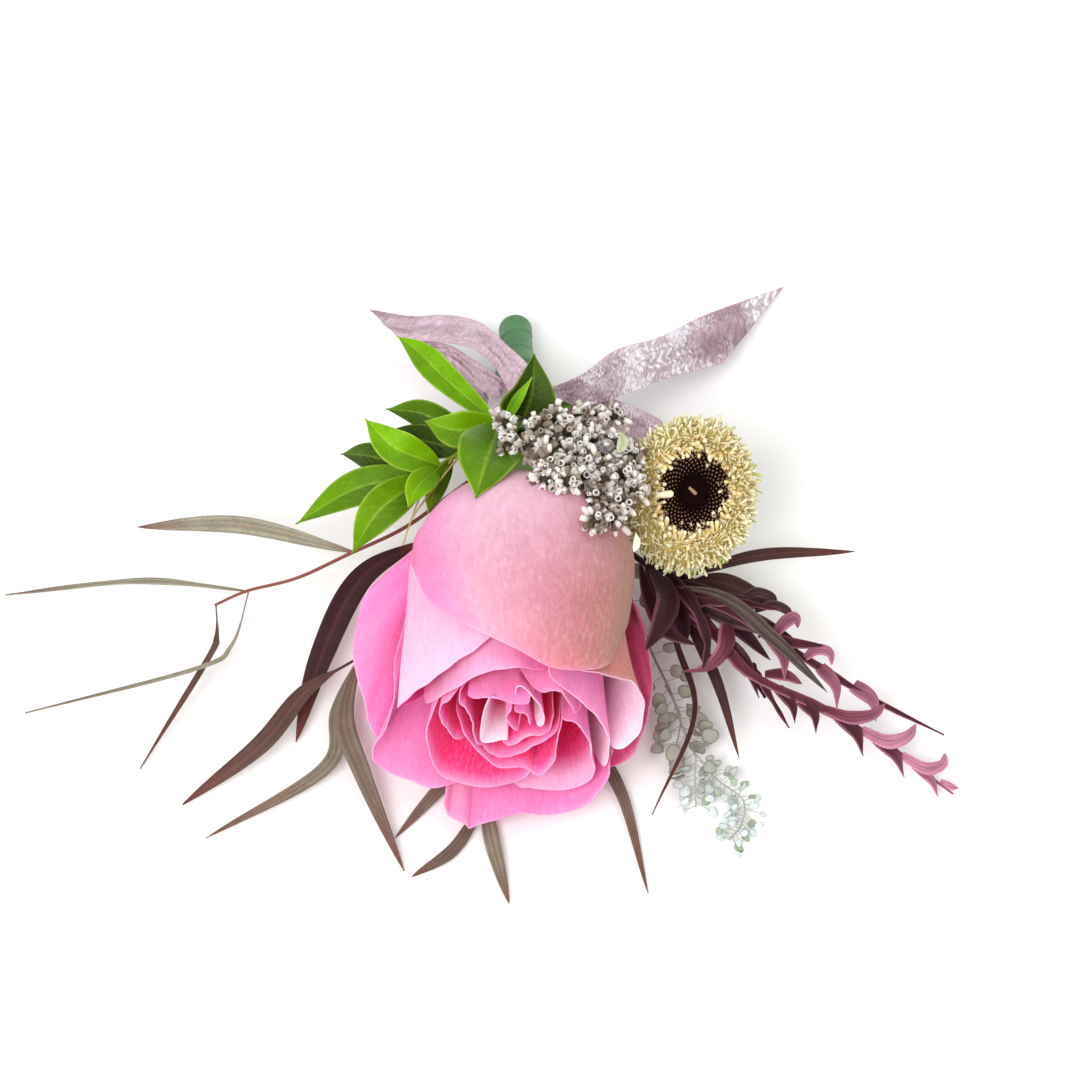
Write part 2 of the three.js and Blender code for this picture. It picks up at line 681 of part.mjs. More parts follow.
function riceSpray({ slot, fork, heads }) {
  const draw = lottery(31);
  const forkAt = at(...fork);
  const pieces = [stem([...fromSlot(slot), forkAt])];
  heads.forEach((head, k) => {
    const centre = at(...head);
    const foot = forkAt.clone().addScaledVector(VIEW_UP, -0.12 * k);
    pieces.push(stem([foot, foot.clone().lerp(centre, 0.5).add(new THREE.Vector3(0, 1.2, 1)), centre], 0.4, 3));
    pieces.push(budHead(centre, 0.92 + 0.16 * draw(), 6 * draw()));
  });
  return fuse(pieces);
}

// Leafy stems. Each is one stem from its slot in the handle, side branches, and leaves given by a line of places
// and a width. A branch or leaf starts on the wood that carries it.
const OLIVE_SPRIGS = [
  {
    name: 'green_sprig_middle',
    slot: 117,
    wood: [[-4, 24.5, 27], [-8.2, 22.6, 30.5]],
    leaves: [
      { line: [[-3.4, 24.2, 26.9], [-1.6, 29.6, 31], [-1.2, 37.2, 35]], width: 11, roll: 8, fold: 0.45, outline: 'spade' },
      { line: [[-4.2, 24.4, 27], [2, 26, 27], [6.6, 27, 24]], width: 5 },
      { line: [[-8, 22.8, 30.4], [-19, 33, 30], [-28.6, 40.8, 26]], width: 7 },
      { line: [[-8.2, 22.6, 30.5], [-10.8, 15.6, 40.6], [-12.8, 8.4, 43.8]], width: 12.5 },
      { line: [[-7.4, 23, 30], [-16.6, 22, 32], [-23, 23.8, 33]], width: 7.5 },
    ],
  },
  {
    name: 'green_sprig_left',
    slot: 142,
    wood: [[-10, 21, 23], [-17.6, 16.4, 24.5], [-23, 12.6, 25]],
    leaves: [
      { line: [[-13, 19, 23.8], [-22.6, 25, 26], [-30.8, 26.2, 24]], width: 6.4, roll: -15 },
      { line: [[-20, 14.8, 25], [-29, 18.4, 30], [-35, 24.2, 31]], width: 7.4, roll: 10 },
      { line: [[-14.6, 17.8, 24], [-24, 20, 23.5], [-31.4, 21.4, 20]], width: 6.6 },
      { line: [[-22.6, 12.8, 25], [-33, 16.6, 24], [-39.8, 17.2, 18]], width: 6, roll: -10 },
      { line: [[-22.6, 12.8, 25], [-36.6, 10.4, 23], [-48.8, 3.2, 15]], width: 7.4 },
      { line: [[-23, 12.6, 25], [-32, 6, 25], [-37.6, -2.6, 18]], width: 8 },
      { line: [[-20.6, 14.2, 25.2], [-24.4, 10.6, 29], [-26.4, 6.6, 29]], width: 5.4 },
      { line: [[-17.6, 16.4, 24.4], [-21, 10, 25], [-22.4, 5.4, 22]], width: 4, roll: -20 },
    ],
  },
];

const WILLOW_SPRIGS = [
  {
    name: 'willow_sprig_far_left',
    slot: 192,
    wood: [[-18, 9, 14], [-27.2, 2.4, 14.5], [-38.2, -2.8, 13], [-48.6, -7.6, 11], [-58.6, -10.2, 9], [-65, -13, 8]],
    leaves: [
      { line: [[-37.4, -2.4, 13], [-60, 3, 11], [-80.6, 2.6, 4]], width: 3.4 },
      { line: [[-58.6, -10.2, 9], [-80, -8.4, 7], [-107, -11, 1]], width: 2.2, roll: 55, columns: 2 },
      { line: [[-64.8, -12.9, 8], [-64.6, -19.4, 7], [-66.4, -24, 6], [-80, -45.8, 0.4]], width: 2.2, roll: 40, columns: 2 },
      { line: [[-58.2, -10.1, 9], [-61.6, -21, 7], [-68.8, -25.8, 6], [-103, -34.6, 0.4]], width: 2, roll: 40, columns: 2 },
    ],
  },
  {
    name: 'willow_sprig_near_left',
    slot: 217,
    wood: [[-14, 8, 9], [-24, 0, 8], [-31, -13, 7], [-36.4, -24, 6]],
    leaves: [
      { line: [[-24.6, -0.6, 8], [-36, -8, 8], [-44, -24, 5], [-48.8, -40.4, 1.5]], width: 5 },
      { line: [[-36, -23.4, 6], [-46.6, -30, 7], [-56, -41, 5], [-71.6, -53, 0.4]], width: 3.7 },
      { line: [[-36.2, -23.8, 6], [-40.4, -34, 5], [-43, -45.6, 3], [-66.8, -59.6, 0.4]], width: 3.4 },
      { line: [[-36.4, -24, 6], [-39, -35.6, 7], [-35.6, -46.4, 5], [-27.2, -66.2, 0.4]], width: 4 },
    ],
  },
  {
    name: 'willow_sprig_under',
    slot: 242,
    wood: [[-8, 8, 6], [-8, -8, 2], [-9, -30, 1.2], [-11, -52, 1]],
    leaves: [
      { line: [[-10, -41, 1.1], [-18.6, -48.2, 1.4], [-29, -59.6, 0.4]], width: 3 },
      { line: [[-11, -51.6, 1], [-17, -61.5, 1.2], [-25.7, -67.4, 0.4]], width: 2.6 },
      { line: [[-11, -51.6, 1], [-9.6, -60, 1.2], [-6.2, -72.7, 0.4]], width: 3 },
      { line: [[-9, -30, 1.2], [8, -40, 1.4], [16, -50, 1.2], [21.6, -70.6, 0.4]], width: 2.6 },
    ],
  },
  {
    name: 'willow_sprig_right',
    slot: 292,
    wood: [[4, 8, 8], [14, 3, 7], [25, -5, 7], [31, -8, 7]],
    leaves: [
      { line: [[30, -7, 7], [44, -3, 8], [63, -2.3, 6]], width: 2.6 },
      { line: [[31, -8, 7], [38, -9, 9], [48.2, -13.8, 8]], width: 4 },
      { line: [[24, -4.4, 7], [31.6, -20, 8], [36, -30, 7], [39.8, -43.6, 4]], width: 2.4, columns: 2 },
      { line: [[22, -2.6, 7], [27.4, -20.6, 10], [31, -35, 9], [22.4, -55, 5]], width: 1.8, roll: 30, columns: 2 },
    ],
  },
];

function leafySprig({ slot, wood, leaves, outline, radius = STEM }) {
  return fuse([
    stem([...fromSlot(slot), ...places(wood)], radius),
    ...leaves.map((spec) => leaf({ outline, ...spec })),
  ]);
}

// Grevillea: long leaves cut into lobes that sweep forward, alternately on one side and the other.
const LOBE_REACH = 4.4;
function lobedLeaf({ line, lobes, reach = LOBE_REACH, roll = 0 }) {
  const path = through(line);
  const rows = lobes * 4 + 1;
  return plate(rows, 3, (u, v) => {
    const forward = path.getTangent(u);
    const normal = TO_EYE.clone().addScaledVector(forward, -TO_EYE.dot(forward)).normalize();
    normal.applyAxisAngle(forward, THREE.MathUtils.degToRad(roll));
    const side = forward.clone().cross(normal);
    const phase = (u * lobes + (v < 0 ? 0.5 : 0)) % 1;
    const tooth = (phase < 0.76 ? phase / 0.76 : (1 - phase) / 0.24) * (1 - 0.55 * u);
    const half = 0.6 + reach * tooth * Math.min(1, u * 5);
    return path.getPoint(u)
      .addScaledVector(side, half * v)
      .addScaledVector(forward, 0.7 * Math.abs(v) * half)
      .addScaledVector(normal, 0.25 * half * Math.abs(v));
  });
}

const GREVILLEA = {
  slot: 317,
  wood: [[6, 6, 9], [16, -1, 11], [24, -7, 12], [30, -11.4, 12]],
  leaves: [
    { line: [[27, -9.6, 12], [41.6, -24.2, 11], [55.4, -33, 8], [68, -41.4, 4], [83.2, -50.8, 1]], lobes: 7 },
    { line: [[29.8, -11.2, 12], [38, -13.4, 17], [48.2, -21.6, 16], [60, -31.2, 14]], lobes: 4, reach: 3 },
    { line: [[30, -11.4, 12], [46, -18, 12], [59.2, -26.2, 10], [67.6, -31.4, 8], [81, -39, 5]], lobes: 4, reach: 3.4 },
    { line: [[25, -7.8, 12], [34, -20, 11], [43.4, -31.6, 8], [50, -37.8, 5]], lobes: 3, reach: 3.4 },
    { line: [[22, -5.6, 12], [26.6, -12, 20], [25.4, -18, 25], [22.4, -23.8, 25]], lobes: 1, reach: 2.6 },
  ],
};

function grevillea() {
  return fuse([
    stem([...fromSlot(GREVILLEA.slot), ...places(GREVILLEA.wood)], 0.6),
    ...GREVILLEA.leaves.map(lobedLeaf),
  ]);
}

// The creeper: hair-thin stems with small round leaves on stalks, alternately left and right. Each stem carries
// its leaves beyond a share of its own length.
const CREEPER = {
  slot: 267,
  stems: [
    {
      wood: [[3, 6, 7], [16, -8, 3.5], [22.6, -23, 4], [26.2, -30.6, 4.5], [28.6, -37.6, 4], [31.2, -43.2, 3.4]],
      leaves: 10,
      bare: 0.72,
      size: 3.2,
    },
    { wood: [[31.2, -43.2, 3.4], [31, -48, 2.4], [31.2, -53.4, 1.4]], leaves: 3, bare: 0.2, size: 2.8 },
    {
      wood: [[31, -42.6, 3.4], [35.6, -48, 2.6], [40.6, -52, 2], [40.4, -56.6, 1.6], [37.8, -60, 1]],
      leaves: 9,
      bare: 0.2,
      size: 2.6,
    },
  ],
};

// A round leaf and its stalk, cut from one blade. Its stations run along the stalk and then across the leaf.
const ROUND_LEAF = [[0.12, 0.32], [0.5, 1], [0.88, 0.78], [1, 0.34]];
function roundLeaf(foot, joint, out, size, roll) {
  const along = joint.clone().sub(foot).normalize();
  const stations = [
    { spot: foot, half: 0.35 },
    { spot: joint, half: 0.35 },
    ...ROUND_LEAF.map(([share, half]) => ({
      spot: joint.clone().addScaledVector(out, share * size),
      half: (half * size) / 2,
    })),
  ];
  const normal = TO_EYE.clone().addScaledVector(along, -TO_EYE.dot(along)).normalize();
  normal.applyAxisAngle(along, THREE.MathUtils.degToRad(roll));
  const side = along.clone().cross(normal);
  return plate(stations.length, 2, (share, v) => {
    const { spot, half } = stations[Math.round(share * (stations.length - 1))];
    return spot.clone().addScaledVector(side, half * v);
  });
}

function creeper() {
  const draw = lottery(101);
  const pieces = [];
  CREEPER.stems.forEach(({ wood, leaves, bare, size }, branch) => {
    const line = branch ? wood : [...fromSlot(CREEPER.slot), ...places(wood)];
    const path = through(line);
    pieces.push(stem(line, branch ? 0.32 : 0.42));
    for (let k = 0; k < leaves; k += 1) {
      const share = bare + ((1 - bare) * (k + 0.5)) / leaves;
      const foot = path.getPoint(share);
      const forward = path.getTangent(share);
      const side = forward.clone().cross(TO_EYE).normalize().multiplyScalar(k % 2 ? 1 : -1);
      const out = side.multiplyScalar(0.85).addScaledVector(forward, 0.1 + 0.5 * draw()).normalize();
      const joint = foot.clone().addScaledVector(out, 1.6 + 2.4 * draw()).addScaledVector(TO_EYE, 1.4 * (draw() - 0.5));
      joint.z = Math.max(joint.z, 0.6);
      pieces.push(roundLeaf(foot, joint, out, size, 50 * (draw() - 0.5)));
    }
  });
  return fuse(pieces);
}

// The ribbon: organza between two edges. Each edge is a line of places.
function ribbon(far, near, rows, columns = 3) {
  const farEdge = through(far);
  const nearEdge = through(near);
  return plate(rows, columns, (u, v) => nearEdge.getPoint(u).lerp(farEdge.getPoint(u), (v + 1) / 2));
}

const RIBBON_TAILS = [
  {
    name: 'ribbon_tail_right',
    far: [[1.15, 30.1, 18.4], [8.1, 33, 18.6], [15.2, 38, 17], [24, 40.6, 13.5], [33, 45, 8], [48.8, 50.7, 1]],
    near: [[1.15, 26.8, 18.4], [9, 26.8, 18], [17, 29, 15.6], [25, 32.2, 12.4], [31, 33.8, 9], [36.6, 35.4, 6]],
  },
  {
    name: 'ribbon_tail_left',
    far: [[-2.9, 35.6, 19.4], [-6.4, 38.8, 17.6], [-11.8, 43.4, 13], [-18.6, 45, 10], [-26, 44.8, 8], [-34.2, 46.2, 5.5]],
    near: [[-7.5, 32, 20], [-9.8, 35.4, 19], [-14, 38.4, 17], [-20, 39.6, 14.5], [-25, 39.9, 12], [-28.8, 40.8, 10]],
  },
];

const RIBBON_LOOPS = [
  {
    name: 'ribbon_loop_left',
    far: [
      [-7.8, 32.4, 17.4], [-12, 35.2, 15], [-18, 38.9, 12], [-24, 40, 8.4], [-25.6, 39.9, 6], [-22, 39.2, 4.8],
      [-16, 36.6, 5.8], [-10.4, 30.4, 9.4],
    ],
    near: [
      [-8, 28.7, 17], [-12, 30, 15], [-16.4, 34.4, 13], [-22, 37.6, 12], [-23.6, 37.4, 9.6], [-20.4, 36, 7.2],
      [-15, 31.4, 7], [-10.4, 25.6, 10],
    ],
  },
  {
    name: 'ribbon_loop_right',
    far: [
      [1.7, 29.6, 16.6], [10, 29.4, 14.6], [18, 27.4, 12.4], [25.4, 24.6, 10.4], [20, 23, 7], [11, 24.6, 7],
      [2.2, 27, 10.6],
    ],
    near: [
      [1.7, 26, 17], [9, 24.4, 16], [16, 20.8, 15], [24.6, 17.6, 13], [19.4, 15.6, 9.4], [10, 18, 9.4],
      [2.2, 22, 11.4],
    ],
  },
];

function ribbonKnot() {
  const band = new THREE.LatheGeometry([
    new THREE.Vector2(HANDLE_RADIUS + 0.3, -4.2),
    new THREE.Vector2(HANDLE_RADIUS + 1, -4.2),
    new THREE.Vector2(HANDLE_RADIUS + 1.3, 0),
    new THREE.Vector2(HANDLE_RADIUS + 1, 4.2),
    new THREE.Vector2(HANDLE_RADIUS + 0.3, 4.2),
    new THREE.Vector2(HANDLE_RADIUS + 0.3, -4.2),
  ], 16);
  band.rotateX(Math.PI / 2);
  band.applyQuaternion(handleTurn);
  const middle = inHandle(handleLength * 0.72, 0, 0);
  band.translate(...middle.toArray());
  const knot = new THREE.SphereGeometry(3.2, 8, 6);
  knot.scale(1.1, 0.75, 1);
  knot.applyQuaternion(handleTurn);
  knot.translate(...inHandle(handleLength * 0.72, 2.2, HANDLE_RADIUS + 2.4).toArray());
  return fuse([solid(band), solid(knot)]);
}

const colours = {
  tape: '#3d6a48', petal: '#f07fb4', hip: '#6f8f3a', ray: '#e8dfae', disc: '#3a1712', rice: '#efe4dc',
  green: '#5f9a1e', willow: '#5d3f3c', grevillea: '#7c3347', creeper: '#9aa79c', organza: '#c79aa6',
};

const boutonniere = new THREE.Group();
boutonniere.add(
  meshOf('tape_wrap', tapedHandle(), colours.tape),
  meshOf('rose_petals', rosePetals(), colours.petal),
  meshOf('rose_hip_and_stem', roseHip(), colours.hip),
  meshOf('gerbera_rays', gerberaRays(), colours.ray),
  meshOf('gerbera_disc', gerberaDisc(), colours.disc),
  meshOf('gerbera_stem', gerberaStem(), colours.hip),
  meshOf('rice_flower', riceSpray(RICE), colours.rice),
  ...OLIVE_SPRIGS.map((sprig) => meshOf(sprig.name, leafySprig({ ...sprig, outline: 'ovate' }), colours.green)),
  ...WILLOW_SPRIGS.map((sprig) => meshOf(sprig.name, leafySprig(sprig), colours.willow)),
  meshOf('grevillea_sprig', grevillea(), colours.grevillea),
  meshOf('creeper_sprig', creeper(), colours.creeper),
  meshOf('ribbon_knot', ribbonKnot(), colours.organza),
  ...RIBBON_TAILS.map(({ name, far, near }) => meshOf(name, ribbon(far, near, 13), colours.organza)),
  ...RIBBON_LOOPS.map(({ name, far, near }) => meshOf(name, ribbon(far, near, 15), colours.organza)),
);

// The frame's origin is under the middle of the whole piece, on the table.
const extent = new THREE.Box3().setFromObject(boutonniere);
const middle = extent.getCenter(new THREE.Vector3());
boutonniere.position.set(-middle.x, -middle.y, -extent.min.z);

export default boutonniere;
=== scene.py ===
"""A rose boutonniere lying on a pale table: a half-open rose, a small gerbera, rice flower, four kinds of
foliage, a taped handle and an organza ribbon. Shapes are worked out in millimetres in the flowers' own
frame, whose origin lies on the table in the middle of the view, and are moved into the fixed frame when a
mesh is made."""

import bmesh
import bpy
import numpy as np
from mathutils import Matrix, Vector


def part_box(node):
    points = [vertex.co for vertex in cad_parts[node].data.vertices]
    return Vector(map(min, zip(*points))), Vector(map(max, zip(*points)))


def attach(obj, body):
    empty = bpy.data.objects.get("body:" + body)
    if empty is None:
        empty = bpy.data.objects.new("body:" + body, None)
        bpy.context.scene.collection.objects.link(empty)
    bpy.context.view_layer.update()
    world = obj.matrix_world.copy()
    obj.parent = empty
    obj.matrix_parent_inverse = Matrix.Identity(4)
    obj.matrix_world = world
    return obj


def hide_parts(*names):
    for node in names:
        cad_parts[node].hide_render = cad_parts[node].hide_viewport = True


bl_info = {
    "name": "Rose boutonniere",
    "version": (1, 0, 0),
    "blender": (4, 5, 0),
    "location": "View3D > Sidebar > Boutonniere",
    "description": "Builds the flowers, foliage, handle and ribbon of a boutonniere over its fixed frame",
    "category": "Add Mesh",
}

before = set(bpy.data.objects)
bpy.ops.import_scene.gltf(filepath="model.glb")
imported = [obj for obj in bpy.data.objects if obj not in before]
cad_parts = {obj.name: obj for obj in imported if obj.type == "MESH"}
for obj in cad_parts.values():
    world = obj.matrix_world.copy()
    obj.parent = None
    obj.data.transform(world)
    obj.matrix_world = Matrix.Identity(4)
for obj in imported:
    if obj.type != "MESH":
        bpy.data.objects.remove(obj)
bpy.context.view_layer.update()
MM = 0.001
# Points closer than this are merged, and faces thinner than this are taken out, in metres
MERGE = 2e-6
SLIVER = 1e-6

# Driving dimensions, in millimetres
ROSE_LENGTH = 52
ROSE_SEAT = np.array([-3.5, -3.5, 20.0])
ROSE_TILT = np.radians(12)
PETAL_BELLY = ROSE_LENGTH * 0.48
HANDLE_END = np.array([-5.2, 50.6, 3.5])
HANDLE_MOUTH = np.array([-4.0, 13.0, 15.0])
HANDLE_RADIUS = 4.5
HANDLE_TIP_RADIUS = 3.45
HANDLE_TAPER = 13.0
HANDLE_BORE = 3.9
HANDLE_TIP_BORE = 2.9
TAPE_PITCH = 5.5
TAPE_STEP = 0.16
SLOT_RING = 3.05
SLOT_START = HANDLE_TAPER + 5
GERBERA_FACE = np.array([28.7, -7.0, 30.0])
GERBERA_DISC = 6.6
GERBERA_OVAL = 1.17
KNOT_SHARE = 0.72
WRAP_HALF = 4.2
WRAP_RADIUS = 5.55
WRAP_LINING = 4.85
KNOT_SIZE = np.array([3.1, 3.4, 2.25])
KNOT_RIGHT = 2.2
KNOT_HEIGHT = 2.4
FULL_TURN = 2 * np.pi
GOLDEN = np.pi * (3 - np.sqrt(5))

# The view: 500 mm from the middle of the piece, looking down at 60 degrees.
EYE_DISTANCE = 500.0
EYE_ELEVATION = np.radians(60)
TO_EYE = np.array([0, -np.cos(EYE_ELEVATION), np.sin(EYE_ELEVATION)])
VIEW_UP = np.array([0, np.sin(EYE_ELEVATION), np.cos(EYE_ELEVATION)])
EYE = TO_EYE * EYE_DISTANCE
VIEW_WIDTH = 216.0
SENSOR = 36.0


def unit(vectors):
    """Each vector divided by its length."""
    vectors = np.asarray(vectors, float)
    return vectors / np.maximum(np.linalg.norm(vectors, axis=-1, keepdims=True), 1e-9)


def seen(places):
    """The points at given heights that are seen at places of the view: each line of sight from the eye
    through (across, up) on the view's plane is followed down to its height."""
    places = np.atleast_2d(np.asarray(places, float))
    target = places[:, :1] * [1, 0, 0] + places[:, 1:2] * VIEW_UP
    sight = target - EYE
    return EYE + sight * ((places[:, 2] - EYE[2]) / sight[:, 2])[:, None]


class Path:
    """A smooth line through places: a Catmull-Rom spline whose share runs evenly from place to place."""

    def __init__(self, points):
        p = np.asarray(points, float)
        self.points = np.vstack([2 * p[0] - p[1], p, 2 * p[-1] - p[-2]])

    def coefficients(self, share):
        count = len(self.points) - 3
        place = np.clip(np.asarray(share, float), 0, 1) * count
        k = np.minimum(place.astype(int), count - 1)
        before, start, end, after = (self.points[k + i] for i in range(4))
        leave, reach = (end - before) / 2, (after - start) / 2
        square = 3 * (end - start) - 2 * leave - reach
        cube = 2 * (start - end) + leave + reach
        return start, leave, square, cube, (place - k)[..., None]

    def at(self, share):
        start, leave, square, cube, w = self.coefficients(share)
        return start + leave * w + square * w**2 + cube * w**3

    def tangent(self, share):
        _, leave, square, cube, w = self.coefficients(share)
        return unit(leave + 2 * square * w + 3 * cube * w**2)


handle_axis = unit(HANDLE_MOUTH - HANDLE_END)
handle_up = unit(np.array([0, 0, 1.0]) - handle_axis * handle_axis[2])
handle_right = np.cross(handle_up, handle_axis)
handle_length = float(np.linalg.norm(HANDLE_MOUTH - HANDLE_END))


def in_handle(along, right, up):
    """The point at a distance along the handle from its end, and right and up of its axis."""
    along, right, up = (np.asarray(x, float)[..., None] for x in (along, right, up))
    return HANDLE_END + along * handle_axis + right * handle_right + up * handle_up


def from_slot(degrees, beyond=3.0, outward=1.2):
    """The first places of a thin stem: inside the handle on a ring, out of its mouth, and a little
    outwards."""
    turn = np.radians(degrees)
    along = np.array([SLOT_START, handle_length - 5, handle_length + 0.5, handle_length + beyond])
    ring = np.array([SLOT_RING, SLOT_RING, SLOT_RING, SLOT_RING + outward])
    return in_handle(along, ring * np.cos(turn), ring * np.sin(turn))


def handle_grid(rows, sides):
    """The tape's outer skin: a rounded end, the thin end, a taper and the full radius, turned round the
    axis. The bands of tape climb in a helix, so the radius steps by a little once in each turn."""
    rounded = np.linspace(0, np.pi / 2, 10)
    tip = HANDLE_TIP_RADIUS
    along = np.r_[tip * (1 - np.cos(rounded)) * 0.8, np.linspace(tip * 0.85, handle_length, rows)]
    radius = np.interp(along, [0, HANDLE_TAPER - 2, HANDLE_TAPER + 4], [tip, tip, HANDLE_RADIUS])
    radius[:10] = tip * np.sin(rounded)
    turn = np.linspace(0, FULL_TURN, sides + 1)
    climb = (along[:, None] / TAPE_PITCH - turn / FULL_TURN) % 1
    step = TAPE_STEP * (climb - 0.6) * np.clip((along[:, None] - 3) / 3, 0, 1)
    out = radius[:, None] + np.where(climb > 0.96, step * (1 - climb) / 0.04, step)
    return in_handle(along[:, None] + 0 * turn, out * np.cos(turn), out * np.sin(turn)), along, turn


# The step from the flowers' own frame to the fixed frame: it brings the middle of the handle over the
# middle of the handle's box, and leaves the height as it is
handle_box = [np.array(corner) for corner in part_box("tape_wrap")]
handle_skin = handle_grid(80, 16)[0].reshape(-1, 3)
SHIFT = (handle_box[0] + handle_box[1]) / 2 - (handle_skin.min(0) + handle_skin.max(0)) / 2 * MM
SHIFT[2] = 0.0


# Meshes
MARGIN_THINNING = 0.55
TABLE_GAP = 0.02


class Skin:
    """Gathers grids of points with their map and colours, and makes them one closed mesh."""

    def __init__(self):
        self.points, self.faces, self.maps, self.paints, self.slots, self.count = [], [], [], [], [], 0

    def grid(self, points, uv=None, paint=None, slot=0):
        """Adds rows by columns of points. A seam is given twice and a pole as a row of one point; both are
        merged when the mesh is made."""
        rows, columns = points.shape[:2]
        if uv is None:
            v, u = np.meshgrid(np.linspace(0, 1, columns), np.linspace(0, 1, rows))
            uv = np.stack([v, u], -1)
        if paint is None:
            paint = np.ones(3)
        index = np.arange(rows * columns).reshape(rows, columns) + self.count
        quads = np.stack([index[:-1, :-1], index[1:, :-1], index[1:, 1:], index[:-1, 1:]], -1).reshape(-1, 4)
        self.points.append(points.reshape(-1, 3))
        self.faces.append(quads)
        self.maps.append(np.broadcast_to(uv, points.shape[:2] + (2,)).reshape(-1, 2))
        self.paints.append(np.broadcast_to(paint, points.shape).reshape(-1, 3))
        self.slots.append(np.full(len(quads), slot))
        self.count += rows * columns

    def blade(self, middle, thick, uv, upper, lower=None, slot=0):
        """Adds a leaf or petal: the middle surface is moved along its normal by half the thickness to each
        side, the two sides are joined round the edge, and the thickness thins towards both margins by the
        sixth power of the way across. Nothing goes below the table."""
        normal = unit(np.cross(np.gradient(middle, axis=1), np.gradient(middle, axis=0)))
        across = np.linspace(-1, 1, middle.shape[1])
        half = (thick / 2) * (1 - MARGIN_THINNING * np.abs(across) ** 6)[None, :, None]
        top, bottom = middle + normal * half, middle - normal * half
        top[..., 2] = np.maximum(top[..., 2], TABLE_GAP)
        bottom[..., 2] = np.maximum(bottom[..., 2], 0.0)
        lower = upper if lower is None else lower
        upper = np.broadcast_to(upper, middle.shape)
        lower = np.broadcast_to(lower, middle.shape)
        ring = np.concatenate([top, bottom[:, ::-1], top[:, :1]], 1)
        paint = np.concatenate([upper, lower[:, ::-1], upper[:, :1]], 1)
        uv = np.concatenate([uv, uv[:, ::-1], uv[:, :1]], 1)
        self.grid(ring, uv, paint, slot)
        for end in (0, -1):
            edge = slice(0, 1) if end == 0 else slice(-1, None)
            self.grid(
                np.concatenate([top[edge], bottom[edge]], 0),
                np.concatenate([uv[edge, : middle.shape[1]]] * 2, 0),
                np.concatenate([upper[edge], lower[edge]], 0),
                slot,
            )

    def tube(self, points, radius, sides=8, paint=None, slot=0):
        """Adds a stem: circles round a line of points, in planes across it, with rounded ends. The circles
        start from the normal of the plane that the line lies nearest to."""
        points = np.asarray(points, float)
        radius = np.broadcast_to(np.asarray(radius, float), len(points))
        plane = np.linalg.svd(points - points.mean(0))[2][-1]
        forward = unit(np.gradient(points, axis=0))
        side = unit(np.cross(forward, plane))
        up = np.cross(side, forward)
        turn = np.linspace(0, FULL_TURN, sides + 1)[None, :, None]
        circle = np.cos(turn) * side[:, None] + np.sin(turn) * up[:, None]
        ring = points[:, None] + radius[:, None, None] * circle
        start = np.broadcast_to(points[0] - forward[0] * radius[0] * 0.5, ring[:1].shape)
        end = np.broadcast_to(points[-1] + forward[-1] * radius[-1] * 0.5, ring[:1].shape)
        length = np.r_[0, np.cumsum(np.linalg.norm(np.diff(points, axis=0), axis=1))]
        along = np.r_[0, length, length[-1]][:, None, None] / STALK_MAP[1]
        uv = np.concatenate([np.broadcast_to(turn / FULL_TURN, (len(along), sides + 1, 1)),
                             np.broadcast_to(along, (len(along), sides + 1, 1))], -1)
        self.grid(np.concatenate([start, ring, end], 0), uv, paint, slot)

    def object(self, name, materials, smooth=True):
        """Makes the object in the fixed frame: one mesh in metres, seams merged, faces turned outwards."""
        if not self.points:
            raise RuntimeError(f"nothing was made for {name}")
        mesh = bpy.data.meshes.new(name)
        faces = np.concatenate(self.faces)
        mesh.from_pydata(np.concatenate(self.points) * MM + SHIFT, [], faces.tolist())
        mesh.uv_layers.new(name="UVMap").data.foreach_set("uv",
                                                          np.concatenate(self.maps)[faces.ravel()].ravel())
        paint = mesh.color_attributes.new("paint", "FLOAT_COLOR", "POINT")
        tones = np.concatenate(self.paints)
        paint.data.foreach_set("color", np.c_[tones, np.ones(len(tones))].ravel())
        mesh.polygons.foreach_set("material_index", np.concatenate(self.slots))
        shape = bmesh.new()
        shape.from_mesh(mesh)
        bmesh.ops.remove_doubles(shape, verts=shape.verts, dist=MERGE)
        bmesh.ops.dissolve_degenerate(shape, edges=shape.edges, dist=SLIVER)
        bmesh.ops.recalc_face_normals(shape, faces=shape.faces)
        shape.to_mesh(mesh)
        shape.free()
        mesh.polygons.foreach_set("use_smooth", [smooth] * len(mesh.polygons))
        for material in materials:
            mesh.materials.append(material)
        made = bpy.data.objects.new(name, mesh)
        bpy.context.scene.collection.objects.link(made)
        return made


def settle(piece, slot, *nodes):
    """The piece rides on the one body and stands for its solids. Its slot is not used."""
    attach(piece, "root")
    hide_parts(*nodes)
    return piece


# Colours and materials
# What one unit of a coordinate stands for across and along a piece, in millimetres: Object coordinates are
# metres, and a map runs over the width and the length of a petal, of a leaf, of a stalk's skin, of a turn
# of the tape and of four widths of the ribbon
METRE = (1000, 1000, 1000)
PETAL_MAP = (45, ROSE_LENGTH, 1)
LEAF_MAP = (8, 30, 1)
STALK_MAP = (6, 50, 1)
TAPE_MAP = (28, 20, 1)
RIBBON_MAP = (48, 50, 1)


def spots(span, grain):
    """How many spots of a grain lie along each axis of a span."""
    return [whole / part for whole, part in zip(span, grain)]


def linear(text):
    """An sRGB hex value as linear red, green and blue."""
    value = np.array([int(text[i : i + 2], 16) for i in (1, 3, 5)]) / 255
    return np.where(value <= 0.04045, value / 12.92, ((value + 0.055) / 1.055) ** 2.4)


def blend(low, high, weight):
    """Colours from low to high by a weight, one number or an array of any shape."""
    weight = np.clip(np.asarray(weight, float), 0, 1)[..., None]
    return np.asarray(low) * (1 - weight) + np.asarray(high) * weight


